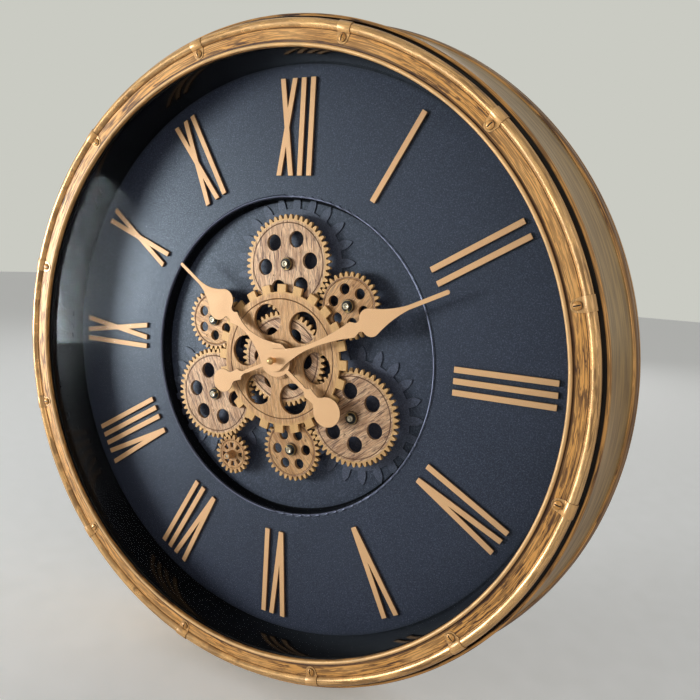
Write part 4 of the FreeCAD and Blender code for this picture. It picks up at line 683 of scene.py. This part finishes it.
def turned_metal(name, ground, roughness, metallic=1.0):
    """Turned or plated metal with fine scratches and worn edges."""
    made = Finish(name)
    scratches = made.noise(made.centred(scale=(2200, 260, 2200)))
    clouds = made.noise(made.place, 160.0)
    tone = made.mix(made.ramp(clouds, (0.35, 0.35), (0.65, 0.0)), tuple(ground), tinted(ground, 0.55))
    tone = made.edge_wear_and_glint(tone, tinted(ground, 1.25, 0.03), share=0.6)
    made.set(Base_Color=tone, Metallic=metallic,
             Roughness=made.ramp(scratches, (0.3, roughness + 0.18), (0.7, roughness)))
    return made.bump(scratches, 0.05, 0.0001).material


def moulded_plastic(name, ground, roughness=0.5):
    """Moulded plastic with a fine spark-eroded grain and rubbed edges."""
    made = Finish(name)
    grain = made.noise(made.place, 1900.0, detail=2.0)
    clouds = made.noise(made.place, 60.0)
    light = tinted(ground, 1.8, 0.02)
    tone = made.mix(made.ramp(clouds, (0.4, 0.0), (0.8, 0.3)), tuple(ground), light)
    tone = made.edge_wear_and_glint(tone, light, share=0.5)
    made.set(Base_Color=tone, Roughness=made.ramp(grain, (0.3, roughness + 0.1), (0.7, roughness - 0.08)))
    return made.bump(grain, 0.15, 0.0001).material


def pressed_board():
    """Brown hardboard with short fibres."""
    colours, _ = settings()
    made = Finish("pressed_board")
    fibres = made.noise(made.centred(scale=(420, 420, 420)), detail=6.0, roughness=0.7, distortion=1.6)
    clouds = made.noise(made.place, 9.0)
    board = tuple(colours.board)
    tone = made.mix(made.ramp(fibres, (0.35, 0.0), (0.65, 1.0)), tinted(board, 0.5), board)
    tone = made.mix(made.ramp(clouds, (0.4, 0.0), (0.75, 0.35)), tone, tinted(board, 1.5))
    made.set(Base_Color=tone, Roughness=made.ramp(fibres, (0.3, 0.75), (0.7, 0.55)))
    return made.bump(fibres, 0.35, 0.0003).material


def cell_wrap():
    """Dark battery sleeve with light wear marks."""
    made = Finish("cell_wrap")
    marks = made.noise(made.place, 300.0)
    tone = made.mix(made.ramp(marks, (0.3, 0.0), (0.7, 0.25)), linear(*CELL_DARK), linear(*CELL_LIGHT))
    made.set(Base_Color=tone, Metallic=0.6, Roughness=made.ramp(marks, (0.3, 0.42), (0.7, 0.3)))
    return made.bump(marks, 0.04, 0.0001).material


def clear_glass():
    """Window glass that shows what lies behind it, with a weak gloss."""
    made = Finish("clear_glass")
    smears = made.noise(made.place, 12.0)
    clear = made.node("ShaderNodeBsdfTransparent", {"Color": GLASS_CLEAR})
    gloss = made.node("ShaderNodeBsdfGlossy", {"Color": GLASS_GLOSS,
                                               "Roughness": made.ramp(smears, (0.3, 0.03), (0.7, 0.09))})
    bend = made.node("ShaderNodeFresnel", {"IOR": GLASS_BEND})
    weak = made.sums("MULTIPLY", bend.outputs[0], GLASS_SHEEN)
    both = made.node("ShaderNodeMixShader", {0: weak, 1: clear.outputs[0], 2: gloss.outputs[0]})
    made.tree.links.new(both.outputs[0], made.tree.nodes["Material Output"].inputs["Surface"])
    return made.material


class ClockOperator(Operator):
    """Shared by every step of the dressing."""
    bl_options = {"REGISTER", "UNDO"}


class CLOCK_OT_make_case(ClockOperator):
    """Spins the back flange, the side band and the front rim"""
    bl_idname = "clock.make_case"
    bl_label = "Make Case"

    def execute(self, context):
        colours, sizes = settings()
        steps = sizes.arc_steps
        foot, _, flange_top = heights("back_flange")
        back, band_bottom, band_top = heights("side_band")
        front, rim_bottom, rim_top = heights("front_rim")
        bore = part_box("back_panel")[1].x
        seat = -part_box("back_panel")[0].y
        inner = bore - SEAT_WIDTH
        groove_top = sizes.flange_foot + 2 * sizes.flange_groove
        outline = [(bore, 0), (foot, 0), (foot, sizes.flange_foot),
                   (foot - sizes.flange_groove, sizes.flange_foot + sizes.flange_groove)]
        outline += bow((foot - sizes.flange_groove / 2, groove_top), (back, flange_top),
                       sizes.flange_swell, steps)
        outline += [(inner, flange_top), (inner, seat), (bore, seat)]
        # Painted shade: a dark line along the flange's groove.
        shade = (foot - sizes.flange_groove, sizes.flange_groove, tuple(colours.film_dark), 0.6)
        paint(spun_ring("back_flange", "flange_ring", outline, sizes.ring_edge),
              gold_film("flange_film", FLANGE_GRAIN, darkness=0.9, light=0.3, bands=[shade]))
        wall = sizes.band_wall
        outline = bow((back, band_bottom), (front, band_top), -sizes.band_hollow, steps * BAND_STEPS)
        outline += [(r - wall, h) for r, h in reversed(outline)]
        paint(spun_ring("side_band", "band_shell", outline, sizes.ring_edge), band_lacquer())
        nose = front - sizes.rim_roll
        land = nose - sizes.rim_land
        ledge = rim_top - sizes.rim_ledge
        neck = front - wall - NECK_FIT
        rim_inner = front - RIM_WIDTH
        outline = [(rim_inner, rim_bottom), (neck, rim_bottom), (neck, band_top), (front, band_top)]
        outline += arc((nose, rim_top - sizes.rim_roll), sizes.rim_roll, 0, 90, steps)
        outline += [(land, rim_top), (land, ledge), (rim_inner, ledge)]
        shadow = (land - GAP_CENTRE, GAP_HALF, PAINTED_GAP_SHADE, 1.0)
        paint(spun_ring("front_rim", "rim_ring", outline, sizes.ring_edge),
              gold_film("rim_film", RIM_GRAIN, darkness=1.0, light=0.0, bands=[shadow]))
        return {"FINISHED"}


class CLOCK_OT_make_bezel(ClockOperator):
    """Spins the bezel ring with its rolled lip and the bead tube"""
    bl_idname = "clock.make_bezel"
    bl_label = "Make Bezel"

    def execute(self, context):
        colours, sizes = settings()
        steps = sizes.arc_steps
        outer, bottom, crest = heights("bezel_ring")
        tube_outer, tube_low, tube_high = heights("bezel_bead")
        tube = (tube_high - tube_low) / 2
        bead = (tube_outer - tube, tube_low + tube)
        face = crest - sizes.lip_rise
        crease = bead[0] - tube
        face_inner = crease - sizes.face_width
        lip_outer = face_inner - sizes.lip_gap
        lip_inner = lip_outer - sizes.lip_width
        lip_middle = (lip_inner + lip_outer) / 2
        glass, _, glass_front = heights("glass_pane")
        pocket = glass + GLASS_FIT
        seat = tube + sizes.bead_fit
        outline = [(pocket, bottom), (outer, bottom)]
        outline += arc(bead, seat, *BEAD_BED, steps)
        outline += [(crease - sizes.bead_fit, face), (face_inner, face), (lip_outer, face - sizes.lip_step),
                    (lip_outer, face)]
        turns = [math.pi * k / steps for k in range(1, steps)]
        outline += [(lip_middle + sizes.lip_width / 2 * math.cos(t), face + sizes.lip_rise * math.sin(t))
                    for t in turns]
        outline += [(lip_inner, face), (lip_inner, glass_front), (pocket, glass_front)]
        # Painted shade in the groove beside the lip.
        groove = (lip_outer + sizes.lip_gap, sizes.lip_gap * GROOVE_SPREAD, tuple(colours.film_dark), 0.75)
        # Painted highlight along the lip's crest.
        wear_and_highlight = (lip_middle, sizes.lip_width / 2, tuple(colours.film_light), 0.7)
        # Painted shadow under the bead on the bezel's outer edge.
        shade_under_bead = (outer, outer - crease, PAINTED_GAP_SHADE, 0.9)
        paint(spun_ring("bezel_ring", "bezel_frame", outline, sizes.ring_edge),
              gold_film("bezel_film", BEZEL_GRAIN, bands=[groove, wear_and_highlight, shade_under_bead], gloss=0.4, metal=0.2))
        outline = arc(bead, tube, 0, 360, steps * BEAD_STEPS)[:-1]
        paint(spun_ring("bezel_bead", "bead_tube", outline, sizes.bead_fit),
              gold_film("bead_film", BEAD_GRAIN, darkness=0.7, light=0.85, gloss=0.2, metal=0.45, lift=0.5))
        paint_nodes(["glass_gasket"], moulded_plastic("gasket_rubber", linear(*GASKET_GREY), roughness=0.7))
        return {"FINISHED"}


class CLOCK_OT_make_clips(ClockOperator):
    """Rounds the clip straps and the slotted screws"""
    bl_idname = "clock.make_clips"
    bl_label = "Make Clips"

    def execute(self, context):
        _, sizes = settings()
        paint(edged_copy("bead_clips", "clip_straps", sizes.clip_edge, sizes.edge_steps),
              gold_film("clip_film", CLIP_GRAIN, darkness=0.55, light=0.7, gloss=0.24, lift=0.4))
        paint(edged_copy("bezel_screws", "slotted_screws", sizes.screw_edge, sizes.edge_steps),
              gold_film("screw_film", SCREW_GRAIN, darkness=0.5, gloss=0.24, shade_reach=SLOT_SHADE_REACH, slots=True))
        return {"FINISHED"}


class CLOCK_OT_dress_dial(ClockOperator):
    """Gives dial, recess and lining their lacquers"""
    bl_idname = "clock.dress_dial"
    bl_label = "Dress Dial"

    def execute(self, context):
        _, sizes = settings()
        lacquers = {
            "dial_plate": ("dial_disc", dial_lacquer("dial_lacquer", rolled=ROLLED_EDGE)),
            "recess_pan": ("recess_dish", dial_lacquer("recess_lacquer", wall=RECESS_WALL)),
            "relief_gears": ("relief_teeth", dial_lacquer("relief_lacquer", lift=RELIEF_PAINTED_LIGHT)),
        }
        for node, (name, lacquer) in lacquers.items():
            paint(edged_copy(node, name, sizes.ring_edge, sizes.edge_steps), lacquer)
        outer, bottom, top = heights("inner_wall")
        sheet = sizes.lining_sheet
        outline = [(LINING_FOOT, bottom), (LINING_FOOT + sheet, bottom), (LINING_MOUTH + sheet, top - sheet),
                   (outer, top - sheet), (outer, top), (LINING_MOUTH, top)]
        paint(spun_ring("inner_wall", "drum_lining", outline, sizes.ring_edge), gloss_black())
        return {"FINISHED"}


class CLOCK_OT_make_numerals(ClockOperator):
    """Makes the raised numerals with rounded edges"""
    bl_idname = "clock.make_numerals"
    bl_label = "Make Numerals"

    def execute(self, context):
        _, sizes = settings()
        lacquer = copper_lacquer()
        for node in NUMERALS:
            paint(edged_copy(node, "raised_" + node, sizes.numeral_edge, sizes.edge_steps), lacquer)
        return {"FINISHED"}


class CLOCK_OT_make_gears(ClockOperator):
    """Makes the gears with rounded teeth and their wood print"""
    bl_idname = "clock.make_gears"
    bl_label = "Make Gears"

    def execute(self, context):
        colours, sizes = settings()
        tan = colours.gear_tan, colours.gear_light
        gold = colours.front_tan, colours.front_light
        for node, turn in PRINT_TURNS.items():
            centre = PIVOT_OF[BODY_OF[node]]
            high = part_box(node)[1]
            tip = max(high.x - centre.x, high.z - centre.z)
            small = tip < SMALL_GEAR
            ground, glow = gold if node == "front_gear" or small else tan
            line = {"front_gear": tip - FRONT_LINE_INSET, "drive_pinion": None}.get(node, tip * LINE_PLACE)
            strength = 0.55 if node == "front_gear" else 0.7 if small else 1.0
            hub = None if node in ("front_gear", "centre_gear", "drive_pinion") else GEAR_HUB
            film = wood_print(node + "_print", centre, math.radians(turn), line, tip, ground, glow,
                              strength, hub)
            paint(edged_copy(node, "printed_" + node, sizes.gear_edge, sizes.edge_steps), film)
        return {"FINISHED"}


class CLOCK_OT_make_posts(ClockOperator):
    """Rounds the pins and clips of the train, and gives the arbors, collars and sleeves their metals"""
    bl_idname = "clock.make_posts"
    bl_label = "Make Posts"

    def execute(self, context):
        colours, sizes = settings()
        steel = turned_metal("pin_steel", colours.steel, roughness=0.24, metallic=0.85)
        brass = turned_metal("collar_brass", colours.brass, roughness=0.24)
        black = turned_metal("clip_black", linear(*CLIP_BLACK), roughness=0.4, metallic=0.6)
        paint(edged_copy("gear_posts", "gear_pins", PIN_EDGE, PIN_STEPS, dimple=True), steel)
        paint(edged_copy("retaining_clips", "pin_clips", sizes.post_edge, sizes.edge_steps), black)
        paint_nodes(["minute_arbor", "drive_shaft"], steel)
        paint_nodes(["centre_sleeve", "hour_tube", "neck_nut"], brass)
        return {"FINISHED"}


class CLOCK_OT_make_hands(ClockOperator):
    """Makes the two spade hands and gives the cap nut its metal"""
    bl_idname = "clock.make_hands"
    bl_label = "Make Hands"

    def execute(self, context):
        _, sizes = settings()
        lacquer = bpy.data.materials["copper_lacquer"]
        for node in ("hour_hand", "minute_hand"):
            paint(edged_copy(node, "spade_" + node, sizes.hand_edge, sizes.edge_steps), lacquer)
        paint_nodes(["hand_nut"], turned_metal("nut_gold", linear(*NUT_GOLD), roughness=0.3, metallic=0.7))
        return {"FINISHED"}


class CLOCK_OT_dress_back(ClockOperator):
    """Gives the battery units, board and hardware their finishes"""
    bl_idname = "clock.dress_back"
    bl_label = "Dress Back"

    def execute(self, context):
        colours, _ = settings()
        plastic = moulded_plastic("unit_plastic", colours.plastic)
        paint_nodes(["movement_case", "movement_cover", "drive_case", "drive_cover", "set_knob"], plastic)
        paint_nodes(["movement_neck", "dial_nuts"], turned_metal("neck_brass", colours.brass, roughness=0.3))
        zinc = turned_metal("zinc_plate", colours.zinc, roughness=0.32)
        paint_nodes(["standoffs", "standoff_screws", "panel_screws", "hanger_screws", "hanger_plate"], zinc)
        paint_nodes(["movement_battery", "drive_battery"], cell_wrap())
        paint_nodes(["back_panel"], pressed_board())
        return {"FINISHED"}


class CLOCK_OT_dress_glass(ClockOperator):
    """Makes the front glass clear"""
    bl_idname = "clock.dress_glass"
    bl_label = "Dress Glass"

    def execute(self, context):
        paint_nodes(["glass_pane"], clear_glass())
        return {"FINISHED"}


def add_lamp(name, place, size, power, tint):
    """Adds a round lamp that shines on the middle of the clock."""
    lamp = bpy.data.lights.new(name, "AREA")
    lamp.shape = "DISK"
    lamp.size = size
    lamp.energy = power
    lamp.color = tint
    holder = bpy.data.objects.new(name, lamp)
    holder.location = place
    holder.rotation_euler = (-Vector(place)).to_track_quat("-Z", "Y").to_euler()
    bpy.context.scene.collection.objects.link(holder)


def add_camera():
    """Adds the camera from its place and its three axes."""
    camera = bpy.data.cameras.new("camera")
    camera.lens = CAMERA_LENS
    camera.sensor_width = CAMERA_SENSOR
    holder = bpy.data.objects.new("camera", camera)
    axes = Matrix((CAMERA_RIGHT, CAMERA_UP, CAMERA_BACK)).transposed().to_4x4()
    holder.matrix_world = Matrix.Translation(CAMERA_PLACE) @ axes
    bpy.context.scene.collection.objects.link(holder)
    bpy.context.scene.camera = holder


def set_world(seen_colour):
    """Lights the room evenly, and shows its colour to the camera and in gloss."""
    world = bpy.data.worlds.new("pale_room")
    world.use_nodes = True
    bpy.context.scene.world = world
    nodes, links = world.node_tree.nodes, world.node_tree.links
    room = nodes["Background"]
    room.inputs["Color"].default_value = (*WHITE, 1)
    room.inputs["Strength"].default_value = ROOM_LIGHT
    seen = nodes.new("ShaderNodeBackground")
    seen.inputs["Color"].default_value = (*seen_colour, 1)
    path = nodes.new("ShaderNodeLightPath")
    share = path.outputs["Is Camera Ray"]
    for ray in ("Is Transmission Ray", "Is Glossy Ray"):
        either = nodes.new("ShaderNodeMath")
        either.operation = "MAXIMUM"
        links.new(share, either.inputs[0])
        links.new(path.outputs[ray], either.inputs[1])
        share = either.outputs[0]
    blend = nodes.new("ShaderNodeMixShader")
    for index, source in enumerate((share, room.outputs[0], seen.outputs[0])):
        links.new(source, blend.inputs[index])
    links.new(blend.outputs[0], nodes["World Output"].inputs["Surface"])


class CLOCK_OT_set_stage(ClockOperator):
    """Sets the floor, the lamps, the pale world and the camera"""
    bl_idname = "clock.set_stage"
    bl_label = "Set Stage"

    def execute(self, context):
        colours, _ = settings()
        pale = tuple(colours.backdrop)
        low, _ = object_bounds()
        bpy.ops.object.select_all(action="DESELECT")
        bpy.ops.mesh.primitive_plane_add(size=FLOOR_SIZE, location=(0, 0, low.z - FLOOR_DROP))
        floor = context.object
        floor.name = "studio_floor"
        made = Finish("floor_paint")
        speck = made.noise(made.place, 35.0, detail=2.0)
        glow = made.sums("MULTIPLY", made.node("ShaderNodeLightPath").outputs["Is Camera Ray"], FLOOR_GLOW)
        made.set(Base_Color=made.mix(made.ramp(speck, (0.3, 0.0), (0.7, 0.15)), WHITE, pale), Roughness=0.9,
                 Emission_Color=(*pale, 1), Emission_Strength=glow)
        paint(floor, made.material)
        floor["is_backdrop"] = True
        set_world(pale)
        for name, lamp in LAMPS.items():
            add_lamp(name, **lamp)
        context.scene.view_settings.view_transform = "Standard"
        add_camera()
        return {"FINISHED"}


STEPS = [CLOCK_OT_make_case, CLOCK_OT_make_bezel, CLOCK_OT_make_clips, CLOCK_OT_dress_dial,
         CLOCK_OT_make_numerals, CLOCK_OT_make_gears, CLOCK_OT_make_posts, CLOCK_OT_make_hands,
         CLOCK_OT_dress_back, CLOCK_OT_dress_glass, CLOCK_OT_set_stage]


class CLOCK_PT_panel(Panel):
    """Lists the dressing's steps in the order they run"""
    bl_idname = "CLOCK_PT_panel"
    bl_label = "Gear Clock"
    bl_space_type = "VIEW_3D"
    bl_region_type = "UI"
    bl_category = "Gear Clock"

    def draw(self, context):
        for step in STEPS:
            self.layout.operator(step.bl_idname)
        for group in (context.scene.clock_sizes, context.scene.clock_colours):
            for key in group.bl_rna.properties.keys():
                if key not in ("rna_type", "name"):
                    self.layout.prop(group, key)


CLASSES = [ClockColours, ClockSizes, *STEPS, CLOCK_PT_panel]


def register():
    """Registers the classes and hangs the two groups on the scene."""
    for item in CLASSES:
        bpy.utils.register_class(item)
    bpy.types.Scene.clock_colours = PointerProperty(type=ClockColours)
    bpy.types.Scene.clock_sizes = PointerProperty(type=ClockSizes)


def unregister():
    """Takes off what register puts on."""
    del bpy.types.Scene.clock_sizes
    del bpy.types.Scene.clock_colours
    for item in reversed(CLASSES):
        bpy.utils.unregister_class(item)


def main():
    """Runs every step in order."""
    register()
    for step in STEPS:
        family, action = step.bl_idname.split(".")
        getattr(getattr(bpy.ops, family), action)()


if __name__ == "__main__":
    main()
